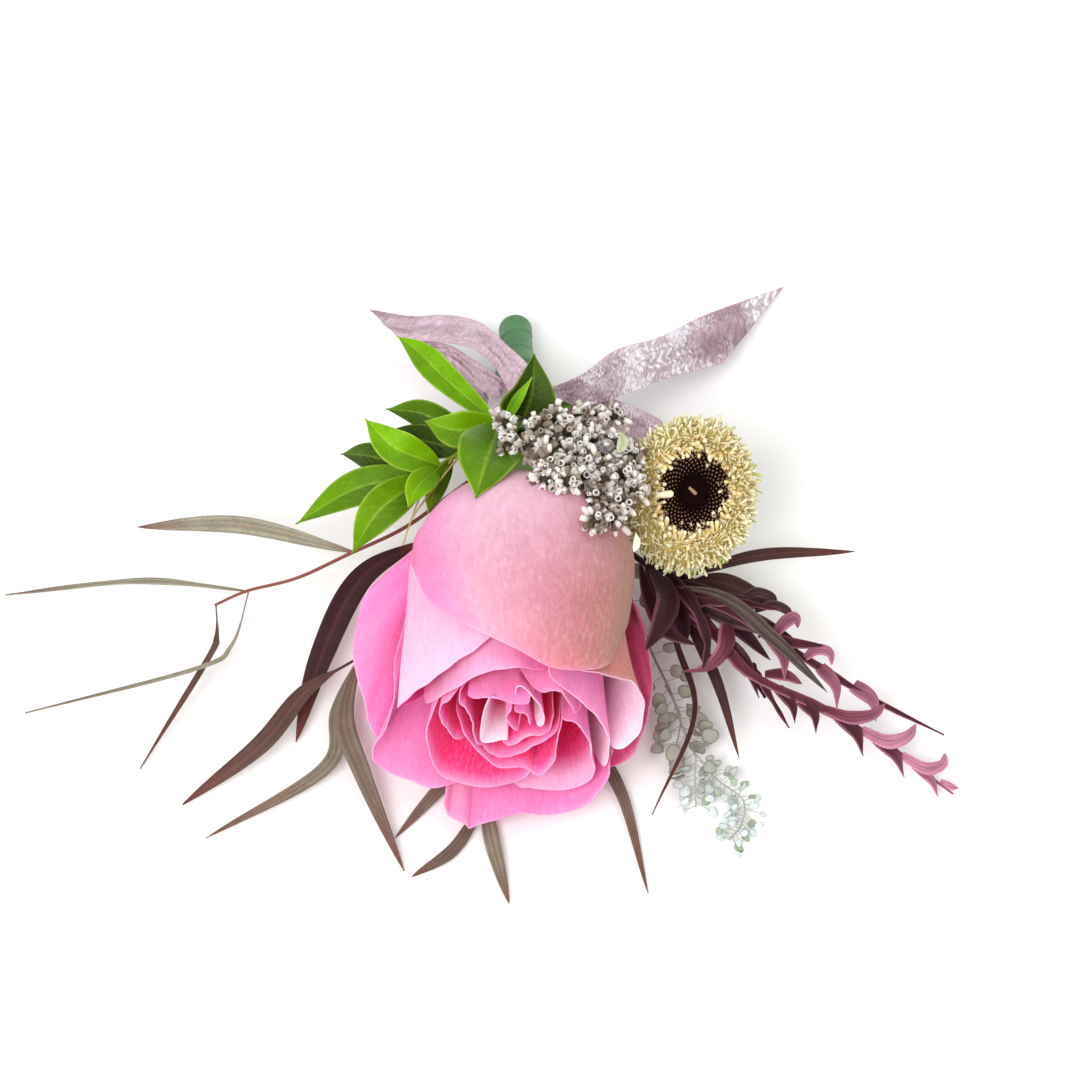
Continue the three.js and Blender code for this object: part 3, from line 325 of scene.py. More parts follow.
def node(tree, kind, inputs=None, **options):
    """Adds a node, with its settings and its inputs: a socket is linked, anything else is a value."""
    made = tree.nodes.new(kind)
    for name, value in options.items():
        setattr(made, name, value)
    for name, value in (inputs or {}).items():
        if isinstance(value, bpy.types.NodeSocket):
            tree.links.new(value, made.inputs[name])
        else:
            made.inputs[name].default_value = value
    return made


def finish(name, sockets):
    """A new material with the painted base colour: returns it, its tree, its shader and the painted
    colour."""
    material = bpy.data.materials.new(name)
    material.use_nodes = True
    tree = material.node_tree
    skin = tree.nodes["Principled BSDF"]
    for socket, value in sockets.items():
        skin.inputs[socket].default_value = value
    paint = node(tree, "ShaderNodeAttribute", attribute_name="paint", attribute_type="GEOMETRY")
    tree.links.new(paint.outputs["Color"], skin.inputs["Base Color"])
    return material, tree, skin, paint.outputs["Color"]


def mottle(tree, skin, colour, coordinate, grain, amount, span=METRE, bump=0.0, detail=3.0):
    """Varies a colour by noise, darker and lighter by the amount, and raises the same noise as bump. The
    grain is the size of its spots along each axis of the coordinate and the span is what one unit of the
    coordinate stands for, both in millimetres, as the bump is. Object coordinates are in metres."""
    place = node(tree, "ShaderNodeTexCoord").outputs[coordinate]
    scaled = node(tree, "ShaderNodeMapping", {"Vector": place, "Scale": spots(span, grain)})
    noise = node(tree, "ShaderNodeTexNoise", {"Vector": scaled.outputs[0], "Scale": 1.0, "Detail": detail})
    level = node(tree, "ShaderNodeMapRange", {"Value": noise.outputs["Fac"], "From Min": 0.3, "From Max": 0.7,
                                              "To Min": 1 - amount, "To Max": 1 + amount})
    shaded = node(tree, "ShaderNodeVectorMath", {0: colour, "Scale": level.outputs[0]}, operation="SCALE")
    tree.links.new(shaded.outputs[0], skin.inputs["Base Color"])
    if bump:
        raised = node(tree, "ShaderNodeBump", {"Height": noise.outputs["Fac"], "Distance": bump * MM,
                                               "Strength": 1.0})
        if skin.inputs["Normal"].is_linked:
            tree.links.new(skin.inputs["Normal"].links[0].from_socket, raised.inputs["Normal"])
        tree.links.new(raised.outputs[0], skin.inputs["Normal"])
    return shaded.outputs[0]


def petal_skin():
    """Rose petal, grown: velvety cells that light passes into, so that it glows and has no gloss. Paler
    veins run from base to rim, 0.3 mm wide. Under them are streaks 0.6 mm wide, faint clouds of 4.5 mm, and
    a grain of 0.67 mm, about twenty times as coarse as the real cells, so that it shows."""
    material, tree, skin, colour = finish("rose_petal", {
        "Roughness": 0.62, "Subsurface Weight": 0.45, "Subsurface Scale": 0.003, "Sheen Weight": 0.1,
        "Sheen Roughness": 0.5, "Specular IOR Level": 0.25, "Subsurface Radius": (1.0, 0.35, 0.55)})
    place = node(tree, "ShaderNodeTexCoord").outputs["UV"]
    veins = node(tree, "ShaderNodeMapping", {"Vector": place, "Scale": spots(PETAL_MAP, (0.3125, 1.625, 1)),
                                             "Rotation": (0, 0, 0.5)})
    noise = node(tree, "ShaderNodeTexNoise", {"Vector": veins.outputs[0], "Scale": 1.0, "Detail": 3.0})
    vein = node(tree, "ShaderNodeMapRange", {"Value": noise.outputs["Fac"], "From Min": 0.45,
                                             "From Max": 0.75, "To Max": 0.15})
    pale = (*linear("#FFEAF1"), 1)
    veined = node(tree, "ShaderNodeMix", {0: vein.outputs[0], 6: colour, 7: pale}, data_type="RGBA")
    colour = mottle(tree, skin, veined.outputs[2], "UV", (0.6016, 5.098, 1), 0.06, PETAL_MAP, bump=0.05,
                    detail=4.0)
    colour = mottle(tree, skin, colour, "Object", (4.545, 4.545, 1.515), 0.06, bump=0.08, detail=4.0)
    mottle(tree, skin, colour, "Object", (0.6667, 0.6667, 0.6667), 0.05)
    return material


def leaf_skin(name, rough, amount, bump=0.06, subsurface=0.08):
    """Leaf, grown: a thin waxed skin that shines a little and lets some light through. Fine veins run
    slantwise from the midrib, 0.12 mm wide and 1.4 mm long, with clouds of 3.3 mm under them."""
    material, tree, skin, colour = finish(name, {
        "Roughness": rough, "Subsurface Weight": subsurface, "Subsurface Scale": 0.0008,
        "Specular IOR Level": 0.13})
    colour = mottle(tree, skin, colour, "UV", (0.1212, 1.3636, 1), amount, LEAF_MAP, bump=bump)
    mottle(tree, skin, colour, "Object", (3.333, 3.333, 3.333), amount * 0.6)
    return material


def stalk_skin(name, rough=0.5):
    """Green or woody stalk, grown: fibres 0.03 mm wide and 0.8 mm long that give it a dull, lengthwise
    gloss."""
    material, tree, skin, colour = finish(name, {"Roughness": rough, "Specular IOR Level": 0.4})
    mottle(tree, skin, colour, "UV", (0.025, 0.8333, 1), 0.16, STALK_MAP, bump=0.05)
    return material


def floret_skin(name, rough=0.65, amount=0.08, gloss=0.3):
    """Small florets, grown: soft, dry and a little translucent, so that they look powdery. Their tone is
    uneven from one spot of 1.1 mm to the next."""
    material, tree, skin, colour = finish(name, {
        "Roughness": rough, "Subsurface Weight": 0.12, "Subsurface Scale": 0.0006,
        "Specular IOR Level": gloss})
    mottle(tree, skin, colour, "Object", (1.111, 1.111, 1.111), amount, bump=0.02)
    return material


def crepe_tape():
    """Floral tape, waxed crepe paper that is stretched and wound: a soft shine, broken by wrinkles 0.16 mm
    wide that run round the handle, and by patches of 6 mm where it is stretched more."""
    material, tree, skin, colour = finish("crepe_tape", {"Roughness": 0.42, "Specular IOR Level": 0.5})
    colour = mottle(tree, skin, colour, "UV", (2, 0.1587, 1), 0.18, TAPE_MAP, bump=0.06, detail=5.0)
    mottle(tree, skin, colour, "Object", (6.25, 6.25, 6.25), 0.12)
    return material


def organza(name, glints):
    """Organza ribbon, woven of shiny filament and crushed: a sheer cloth that glitters where its threads
    catch the light here and there. The glints are painted: white is mixed into its colour as specks in
    patches of 6.7 mm. Its threads across are drawn 0.3 mm apart and those along it 0.16 mm, up to twice as
    coarse as real, so that they show."""
    material, tree, skin, colour = finish(name, {
        "Roughness": 0.3, "Sheen Weight": 0.3, "Sheen Roughness": 0.3, "Specular IOR Level": 0.6,
        "Alpha": 0.74})
    colour = mottle(tree, skin, colour, "UV", (3.2, 0.303, 1), 0.34, RIBBON_MAP, bump=0.22)
    colour = mottle(tree, skin, colour, "UV", (0.16, 2.0833, 1), 0.1, RIBBON_MAP, bump=0.04)
    place = node(tree, "ShaderNodeTexCoord")
    threads = node(tree, "ShaderNodeMapping", {
        "Vector": place.outputs["UV"], "Scale": spots(RIBBON_MAP, (1.0714, 0.2101, 1))})
    patches = node(tree, "ShaderNodeMapping", {
        "Vector": place.outputs["Object"], "Scale": spots(METRE, (6.667, 6.667, 6.667))})
    speck = node(tree, "ShaderNodeTexNoise", {"Vector": threads.outputs[0], "Scale": 1.0, "Detail": 3.0})
    patch = node(tree, "ShaderNodeTexNoise", {"Vector": patches.outputs[0], "Scale": 1.0, "Detail": 3.0})
    bright = node(tree, "ShaderNodeMath", {0: speck.outputs["Fac"], 1: patch.outputs["Fac"]},
                  operation="MULTIPLY")
    # painted glints: white specks where both noises are high
    spark = node(tree, "ShaderNodeMapRange", {"Value": bright.outputs[0], "From Min": 0.28, "From Max": 0.33,
                                              "To Max": glints})
    white = (*colours().sparkle, 1)
    mixed = node(tree, "ShaderNodeMix", {0: spark.outputs[0], 6: colour, 7: white}, data_type="RGBA")
    tree.links.new(mixed.outputs[2], skin.inputs["Base Color"])
    return material


def sizes():
    """The sizes that a user has set."""
    return bpy.context.scene.boutonniere_sizes


def colours():
    """The colours that a user has set."""
    return bpy.context.scene.boutonniere_colours


def in_mm(length):
    """A length from the settings, which Blender keeps in metres, in millimetres."""
    return round(length / MM, 4)


# Rose
rose_axis = np.array([0, -np.cos(ROSE_TILT), np.sin(ROSE_TILT)])
rose_up = np.array([0, np.sin(ROSE_TILT), np.cos(ROSE_TILT)])
rose_right = np.array([1.0, 0, 0])


def in_rose(turn, out, along):
    """The point at a turn from the right through the top, a radius and a distance from the seat of the
    petals."""
    turn, out, along = (np.asarray(x, float)[..., None] for x in (turn, out, along))
    return ROSE_SEAT + along * rose_axis + out * (np.cos(turn) * rose_right + np.sin(turn) * rose_up)


def on_rose(across, up, along):
    """The point that is seen at a place of the view, at a distance from the seat along the rose."""
    sight = across * np.array([1, 0, 0]) + up * VIEW_UP - EYE
    return EYE + sight * (along + ROSE_SEAT @ rose_axis - EYE @ rose_axis) / (sight @ rose_axis)


def hidden(degrees, out, along):
    """A place of a rim that other petals hide."""
    return in_rose(np.radians(degrees), out, along)


# Each petal: the turn of its middle in degrees; the radius of its belly at its first side (out) and its
# last; how far along it is widest (belly) and the power of that swelling (round); its rim, as places of the
# view (across, up, along) or hidden places; the share of its length where it leaves the heart (start); the
# power by which it flares; the height of its ruffles; the roll of its lip in mm; and the share of its
# length from where the lip is pale.
OUTER_PETALS = {
    "over": dict(turn=84, out=21.3, belly=18, round=0.6, ruffle=0.15, rim=[
        hidden(-8, 20.4, 25), hidden(0, 19.6, 30.5), hidden(10, 18.7, 36.5), hidden(22, 17.7, 43.6),
        (11.2, -25.9, 49), (2.6, -25.6, 51), (-5, -21.6, 49.5), (-13, -17.8, 45.5), (-18.4, -14.6, 40),
        (-22.4, -11.6, 34), (-25.6, -5, 22)]),
    "left": dict(turn=160, out=22.8, last=18.2, belly=19, round=0.6, rim=[
        hidden(222, 19.5, 26), hidden(208, 20.5, 39), (-29.2, -33.4, 46.5), (-24.6, -30, 48),
        (-18, -25.8, 48), (-12, -20.8, 46.4), hidden(92, 17.4, 42)]),
    "fallen_left": dict(turn=202, out=23.6, rim=[
        hidden(226, 24, 26), hidden(216, 27.4, 36), (-32, -39.4, 45), (-35, -33, 41), (-37, -26, 34.5),
        (-37.2, -19.6, 27), (-34.4, -10.6, 19), (-27.6, -3.6, 12)]),
    "low_left": dict(turn=230, out=21, rim=[
        hidden(272, 19.6, 30), hidden(262, 22, 44), (-19.6, -49.6, 50.5), (-25.6, -48.2, 50),
        (-31.4, -45.6, 48.4), (-33.4, -41.6, 47), (-29.8, -33.8, 43), hidden(192, 23.8, 34)]),
    "fallen_low": dict(turn=276, out=21.2, last=23.8, ruffle=0.6, rim=[
        hidden(312, 21, 34), (14.8, -43.4, 50), (13.6, -48.6, 53), (9.4, -52.6, 54), (3, -54.8, 55),
        (-3.8, -54.2, 55.4), (-9.8, -55.8, 55.6), (-13.8, -57.9, 56), (-15.6, -56.9, 55.6),
        (-18.6, -54.8, 54), (-19.2, -52.6, 53), hidden(241, 29, 44), hidden(237, 25, 30)]),
    "fallen_right": dict(turn=336, out=24, last=18.4, rim=[
        hidden(294, 24, 30), hidden(302, 27, 44), (15.8, -44.8, 48.6), (19.4, -40, 47), (22, -33, 42),
        (22.4, -25.4, 34.6), (21, -17.8, 27), (18, -14.4, 22), hidden(2, 15, 10)]),
    "right": dict(turn=16, out=18.2, last=17.6, lip=0.8, pale=0.3, rim=[
        hidden(320, 18.4, 40), (14.4, -41.6, 50), (18, -39.6, 50), (19.8, -33, 47), (17.4, -28.4, 47),
        (13, -27.4, 48), (7.4, -26.2, 49), hidden(60, 12.4, 42)]),
}
INNER_PETALS = {
    "under": dict(turn=104, out=14.2, last=15.6, start=0.5, rim=[
        hidden(34, 12, 42), (1.4, -25.8, 48.6), (-5, -25.8, 50.6), (-11.4, -26.6, 51), (-18.6, -30.2, 50),
        (-22.6, -32.6, 48.6), hidden(190, 17.4, 38)]),
    "inner_right": dict(turn=352, out=15.4, last=14.6, start=0.5, pale=0.66, rim=[
        hidden(304, 19, 42), (12.6, -45.2, 51), (14.2, -40.4, 51), (13.2, -37.4, 51), (10.2, -34.6, 51.4),
        (7, -31.4, 51.6), (2.2, -26.8, 50), hidden(58, 13.6, 42)]),
    "inner_low_left": dict(turn=216, out=14, last=13.6, start=0.5, rim=[
        hidden(290, 15.6, 44), (-2, -46, 52.6), (-5, -48.2, 52.4), (-11.4, -49.6, 52), (-19.4, -47.4, 50.6),
        (-21.8, -43.2, 50.6), (-22.2, -37.6, 50.6), (-20.6, -31.4, 49.6), hidden(164, 13.6, 40)]),
    "inner_low_right": dict(turn=306, out=16, last=12.6, start=0.5, pale=0.88, ruffle=0.35, rim=[
        hidden(248, 19.6, 44), (-5, -48.8, 50.6), (-1.6, -49.4, 51.4), (4, -50, 52), (8.6, -49, 52),
        (11.4, -46.4, 52), (11, -43.6, 52), (9.4, -40, 52), (6.8, -36.6, 51), (4.2, -35, 49.6),
        hidden(2, 8.6, 42)]),
    "second_below": dict(turn=256, out=11.4, last=11.2, start=0.64, rim=[
        (4, -36, 50.6), (3.6, -39.6, 52.6), (3.4, -43.6, 53.4), (0, -47, 53.6), (-3.4, -45.2, 52.6),
        (-8.8, -45.2, 52.4), (-13.4, -41.4, 52), (-15.6, -37.6, 51), (-16.4, -33.4, 48)]),
    "second_left": dict(turn=184, out=13, last=12, start=0.64, rim=[
        hidden(232, 13.4, 44), (-15.4, -39.6, 50.4), (-17.8, -38.8, 51.4), (-19.8, -36.8, 51.6),
        (-20, -33.6, 51.2), (-17.4, -31.4, 50.6), hidden(138, 11.6, 44)]),
    "second_right": dict(turn=44, out=12.4, last=10.4, start=0.64, rim=[
        hidden(6, 12.8, 44), (7.6, -34.4, 50.6), (6.2, -32.4, 51.6), (3.4, -30.4, 52), (-1, -29.8, 51.4),
        hidden(100, 10, 44)]),
    "third_top": dict(turn=100, out=8.6, last=8.4, start=0.72, rim=[
        hidden(40, 7.6, 42), (-1.8, -31, 52), (-3.2, -32.6, 53), (-9, -31.8, 53), (-14.2, -31.2, 51),
        hidden(172, 8.4, 42)]),
    "third_left": dict(turn=190, out=8.4, last=10.2, start=0.72, rim=[
        hidden(240, 8.2, 44), (-11.4, -40.8, 51.4), (-13.6, -37.6, 52), (-14.6, -34.4, 52),
        (-15.8, -31.2, 50.4), hidden(136, 10.6, 44)]),
    "third_below": dict(turn=274, out=8, last=10.2, start=0.72, rim=[
        hidden(346, 7.6, 44), (3, -38.4, 51.6), (-1.8, -41.8, 52.4), (-6.2, -43.2, 52.6), (-9.2, -42.8, 52),
        (-11.4, -41.2, 51), hidden(206, 10.4, 44)]),
    "heart_left": dict(turn=190, out=4.2, start=0.8, flare=4, pale=0.84, ruffle=0.05, rim=[
        hidden(236, 4.8, 46), (-6.6, -39.3, 51.6), (-7.6, -39.9, 52), (-11, -40.6, 52.8),
        (-12.2, -39.2, 53), (-11.4, -34.4, 53), (-10, -31.6, 52.8), (-8.4, -31, 52), hidden(124, 5, 46)]),
    "heart_right": dict(turn=30, out=3.0, last=3.4, start=0.8, flare=4, pale=0.7, ruffle=0.12, rim=[
        hidden(316, 3, 46), (-0.6, -37, 51.6), (0.8, -36, 52.6), (0.2, -33, 53), (-2.2, -30, 53),
        (-4.4, -29.4, 52.6), (-5, -31, 51.6), hidden(110, 4, 46)]),
    "heart_mid": dict(turn=200, out=2.2, start=0.84, ruffle=0.1, rim=[
        hidden(280, 2, 47), (-4.4, -38, 51), (-6.4, -35.6, 52), (-5.8, -33.4, 52), hidden(110, 2, 47)]),
    "heart_tip": dict(turn=20, out=1.2, start=0.84, ruffle=0.1, rim=[
        hidden(300, 2, 47), (-1.6, -36.8, 51), (-3, -35, 51.6), (-5, -34, 51.6), hidden(90, 1.4, 47)]),
    "heart_below": dict(turn=284, out=5.8, last=6.6, start=0.8, rim=[
        hidden(4, 6, 46), (1.8, -37.6, 51.2), (-2.4, -39.6, 52), (-6.8, -40.8, 52), hidden(225, 6.8, 46)]),
}
ROSE_HEART = [(0, 0), (4.6, 0.6), (13, 15), (16.4, 26), (12.4, 37), (0, 43)]


def petal(spec, rows, columns):
    """A petal's middle surface. Along its length it leaves the seat in a narrow fan, bellies out by a
    rounded step, and passes over to its rim by a power of the way. Its lip rolls outwards near the rim,
    where three sine waves ruffle it, and broad shallow dents cross it. Returns the surface, the way along
    and the way across."""
    share = 1 - (1 - np.linspace(0, 1, rows)) ** 1.5
    start = spec.get("start", 0.0)
    s = (start + (1 - start) * share)[:, None]
    v = np.linspace(-1, 1, columns)[None, :]
    edge = Path([on_rose(*p) if isinstance(p,
                                           tuple) else p for p in spec["rim"]]).at((v[0] + 1) / 2) - ROSE_SEAT
    right, high, far = edge @ rose_right, edge @ rose_up, edge @ rose_axis
    turn = np.radians(spec["turn"])
    swing = np.arctan2(high, right) - turn
    swing = np.arctan2(np.sin(swing), np.cos(swing))
    along = far * s
    fan = 0.3 + 0.7 * np.sin(np.minimum(1, s / 0.6) * np.pi / 2)
    widest = np.minimum(1, along / spec.get("belly", PETAL_BELLY))
    belly = 0.2 + 0.8 * np.sin(widest * np.pi / 2) ** spec.get("round", 0.8)
    near = np.maximum(0, (s - 0.35) / 0.65) ** spec.get("flare", 1.6)
    roll = spec.get("lip", 0) * np.maximum(0, (s - 0.8) / 0.2) ** 2 * (1 - v * v)
    out = spec["out"] + (spec.get("last", spec["out"]) - spec["out"]) * (v + 1) / 2
    radius = out * belly * (1 - near) + np.hypot(right, high) * near + roll
    surface = in_rose(turn + swing * fan, radius, along - 0.5 * roll)
    normal = unit(np.cross(np.gradient(surface, axis=1), np.gradient(surface, axis=0)))
    wave = np.sin(6 * v + spec["turn"]) + 0.5 * np.sin(13 * v + 2 * spec["turn"])
    wave = wave + 0.35 * np.sin(27 * v + 5 * s)
    dent = np.sin(4 * v + 3 * s + spec["turn"]) * np.sin(5 * s + 2 * v)
    ease = np.maximum(0, (s - 0.7) / 0.3) ** 2
    ruffle = spec.get("ruffle", 0.24 if "start" in spec else 0.4)
    push = ruffle * wave * ease + 0.22 * dent * np.minimum(1, 3 * s)
    surface = surface + normal * push[..., None]
    return surface, np.broadcast_to(s, surface.shape[:2]), np.broadcast_to(v, surface.shape[:2])


# The petals whose inner faces look into the heart: near their feet they are painted a stronger deep pink, a
# painted shade that glows as if lit through from behind
GLOWING = ("inner_low_left", "second_below", "third_below", "heart_below", "second_left", "third_left",
           "heart_mid", "heart_tip")


def outer_face(name, s, v, tint):
    """The colours of a petal's outer face, by the way s from its foot to its rim and the way v across. The
    petal in front is blushed, with a tan side and a pink one, which is brightened with painted light and
    deepens with painted shade towards its rim; it is paler towards its foot, where painted light adds to
    its own paler colour."""
    pink, deep, pale, tan, dusk = (np.array(c) for c in (
        tint.petal_pink, tint.petal_deep_shade, tint.petal_pale, tint.petal_tan, tint.petal_shade))
    down = 1 - s
    if name == "over":
        outside = blend(pink, linear("#F4A6BE"), np.clip((0.95 - v) / 0.6, 0, 1))
        rosy = np.clip((0.4 - v) / 0.5, 0, 1) * np.clip((s - 0.3) / 0.4, 0, 1)
        outside = blend(outside, linear("#D27682"), rosy)
        outside = blend(outside, tan, np.clip((0.1 - v) / 0.45, 0, 1) * 0.9)
        # painted light: added to the paler colour near the petal's foot, on the top of the rose
        light = np.clip(down * 1.7 - 0.5, 0, 0.75) * np.clip(v * 1.4 + 0.2, 0, 1)
        outside = blend(outside, linear("#FFC2DA"), light)
        # painted light: the left side, which the lamps leave in shade, is brightened pink
        outside = blend(outside, linear("#FF8CC8"), np.clip((v - 0.35) / 0.5, 0, 1) * 0.8)
        # painted shade: darker towards the left rim
        shaded = np.clip((v - 0.55) / 0.45, 0, 1) * 0.3 + np.clip((v - 0.93) / 0.07, 0, 1) * 0.35
        return blend(outside, deep, shaded)
    if name == "left":
        milky = blend(pale, linear("#FFEDF6"), 0.2)
        return blend(milky, pink, np.clip(0.95 - s, 0, 0.4) + 0.2 * np.clip(v, 0, 1))
    if name == "right":
        # painted shade: its outside darkens towards its foot
        return blend(blend(pink, tan, 0.95), dusk, np.clip(down * 1.2, 0, 0.4))
    if name == "under":
        return blend(blend(pink, tan, 0.12), pale, np.clip(0.75 * np.sin(2.2 * v + 1.4), 0.2, 1))
    if name == "fallen_right":
        # painted shade: the rearmost petal lies in shade, painted into its colour
        return blend(dusk, pink, 0.25 * s)
    return blend(pink, pale, 0.12 + 0.2 * s if name in OUTER_PETALS else 0.08 + 0.22 * s)


def inner_face(name, spec, s, v, tint):
    """The colours of a petal's inner face, which deepens from the rim down with painted shade where the
    petals close in on one another, and turns pale over the last stretch of its lip: a broad lip is its own
    pale lilac, and a thin uneven rim is a painted highlight."""
    pink, deep, pale, dusk = (np.array(c) for c in (
        tint.petal_pink, tint.petal_deep_shade, tint.petal_pale, tint.petal_shade))
    down = 1 - s
    # painted shade: the inner face deepens towards its foot, among the other petals
    inside = blend(pink, deep, np.clip(down * (5.5 if name in INNER_PETALS else 1.1), 0, 1))
    if name in GLOWING:
        # painted shade that glows: a stronger deep pink near the foot
        inside = blend(inside, linear("#FF0A6A"), 0.65 * np.clip(down * 14 + 0.1, 0, 1))
        inside = blend(inside, pale, 0.4 * np.clip(1 - down * 22, 0, 1))
    if name in ("fallen_left", "low_left"):
        inside = blend(pink, pale, 0.1 + 0.3 * s)
        # painted shade: a little deep pink near the foot
        inside = blend(inside, deep, np.clip(down * 1.3 - 0.6, 0, 0.5))
    if name == "fallen_right":
        # painted shade: the rearmost petal's inner face, in shade
        inside = blend(inside, dusk, 0.75)
    if name == "fallen_low":
        spot = np.exp(-(((v - 0.55) / 0.22) ** 2) - ((s - 0.8) / 0.16) ** 2)
        inside = blend(inside, pale, 0.3)
        inside = blend(inside, linear("#F6D9CB"), 0.45 * spot)
    start = spec.get("pale", 0.98)
    lip = np.clip((s - start) / (1 - start) * 1.6, 0, 1)
    # a lip that turns pale late is a thin rim, uneven along it: a painted highlight
    strength = 0.95 if start < 0.9 else 0.16 + 0.16 * np.sin(7 * v + spec["turn"])
    # painted light: the lips of the heart's petals and of the right and inner right petals, which lie in
    # shade, are whitened beyond their pale lilac
    bright = name.startswith("heart") or name in ("right", "inner_right")
    return blend(inside, blend(pale, linear("#FFF7FF"), 0.6) if bright else pale, lip * strength)


def add_petal(skin, name, spec, tint):
    """One petal as a blade. Its upper side is the outer face where its normal points away from the rose's
    axis. A pale line, a painted highlight, runs along the outer face's rim."""
    outer = name in OUTER_PETALS
    middle, s, v = petal(spec, 48 if outer else 30, 72 if outer else 48)
    outside = outer_face(name, s, v, tint)
    # painted highlight: a faint pale line along the rim of the outer face
    outside = blend(outside, tint.petal_pale, np.clip((s - 0.98) / 0.02, 0, 1) * 0.15 * (v > -0.35))
    inside = inner_face(name, spec, s, v, tint)
    normal = np.cross(np.gradient(middle, axis=1), np.gradient(middle, axis=0))
    away = middle - ROSE_SEAT
    away = away - (away @ rose_axis)[..., None] * rose_axis
    upper, lower = (outside, inside) if (normal * away).sum() > 0 else (inside, outside)
    thick = sizes().petal_thickness if outer else sizes().inner_petal_thickness
    skin.blade(middle, in_mm(thick), np.stack([v * 0.5 + 0.5, s], -1), upper, lower)


def add_heart(skin, tint):
    """The closed heart that the inner petals stand in: a profile turned round the rose's axis, painted
    all over in the deep pink of the painted shade.
    """
    profile = Path([(out, along, 0) for out, along in ROSE_HEART]).at(np.linspace(0, 1, 30))
    turn = np.linspace(0, FULL_TURN, 49)
    body = in_rose(turn[None, :], np.maximum(profile[:, :1], 0), profile[:, 1:2] + 0 * turn)
    skin.grid(body, paint=np.array(tint.petal_deep_shade))


class BOUTONNIERE_OT_rose(bpy.types.Operator):
    """Builds the rose's petals"""

    bl_idname = "boutonniere.rose"
    bl_label = "Rose petals"

    def execute(self, context):
        skin = Skin()
        for name, spec in {**OUTER_PETALS, **INNER_PETALS}.items():
            add_petal(skin, name, spec, colours())
        add_heart(skin, colours())
        settle(skin.object("rose_bloom", [petal_skin()]), "rose_petal", "rose_petals")
        return {"FINISHED"}


# Leaves. An outline is a share of the leaf's full width by the way u from its foot to its tip.
OUTLINES = {
    "willow": lambda u: np.maximum(0.05, np.sin(np.pi * np.minimum(1, u * 0.98 + 0.02)) ** 0.75),
    "stalked": lambda u: np.minimum(
        0.03 + (1 - u) * 9, np.maximum(0.14, np.sin(np.pi * np.clip((u - 0.14) / 0.86, 0, 1)) ** 0.75)),
    "ovate": lambda u: np.maximum(0.04, np.sin(np.pi * u**0.85) ** (0.8 + 0.35 * u) * (1 - 0.12 * u)),
    "spade": lambda u: np.maximum(0.04, np.sin(np.pi * u**0.5)),
    "rib": lambda u: np.maximum(0.12, (1 - u) ** 0.5 * (0.85 + 0.15 * np.sin(u * 24))),
    "lobe": lambda u: np.maximum(0.06, (1 - u) ** 0.8 * (0.75 + 0.5 * np.sin(np.pi * u))),
    "strap": lambda u: np.maximum(0.08, np.minimum(1, 0.55 + 1.2 * u) * (1 - u**3) ** 0.8),
}


def leaf_surface(line, width, outline, face=TO_EYE, roll=0.0, fold=0.25, rows=30, columns=13, wave=0.0):
    """A leaf's middle surface: its midrib follows a line, its halves rise from the midrib by a share of their
    width, its outline is a share of the full width, and its margins wave. Returns it with the two ways."""
    u = (1 - np.cos(np.pi * np.linspace(0, 1, rows))) / 2
    v = np.linspace(-1, 1, columns)
    path = Path(line)
    forward = path.tangent(u)
    normal = unit(face - forward * (forward @ face)[:, None])
    tilt = np.radians(roll)
    normal = normal * np.cos(tilt) + np.cross(forward, normal) * np.sin(tilt)
    side = np.cross(forward, normal)
    half = (width / 2 * OUTLINES[outline](u))[:, None]
    ripple = wave * half * np.sin(u[:, None] * 15 + np.sign(v) * 1.3) * np.abs(v) ** 3
    rise = half * fold * np.sqrt(v**2 + 0.012) + ripple
    middle = path.at(u)[:, None] + side[:, None] * (half * v)[..., None] + normal[:, None] * rise[..., None]
    middle[..., 2] = np.maximum(middle[..., 2], 0.3)
    return middle, np.broadcast_to(u[:, None], middle.shape[:2]), np.broadcast_to(v[None], middle.shape[:2])


def leaf(line, width, **bend):
    """A row of the tables below: a leaf's midrib as places of the view, its width in mm, its tone or shade,
    and how it bends."""
    return {"line": seen(line), "width": width, **bend}


def stem_line(slot, wood, count=60):
    """The points of a stem from its slot in the handle through its places of the view."""
    return Path(np.vstack([from_slot(slot), seen(wood)])).at(np.linspace(0, 1, count))


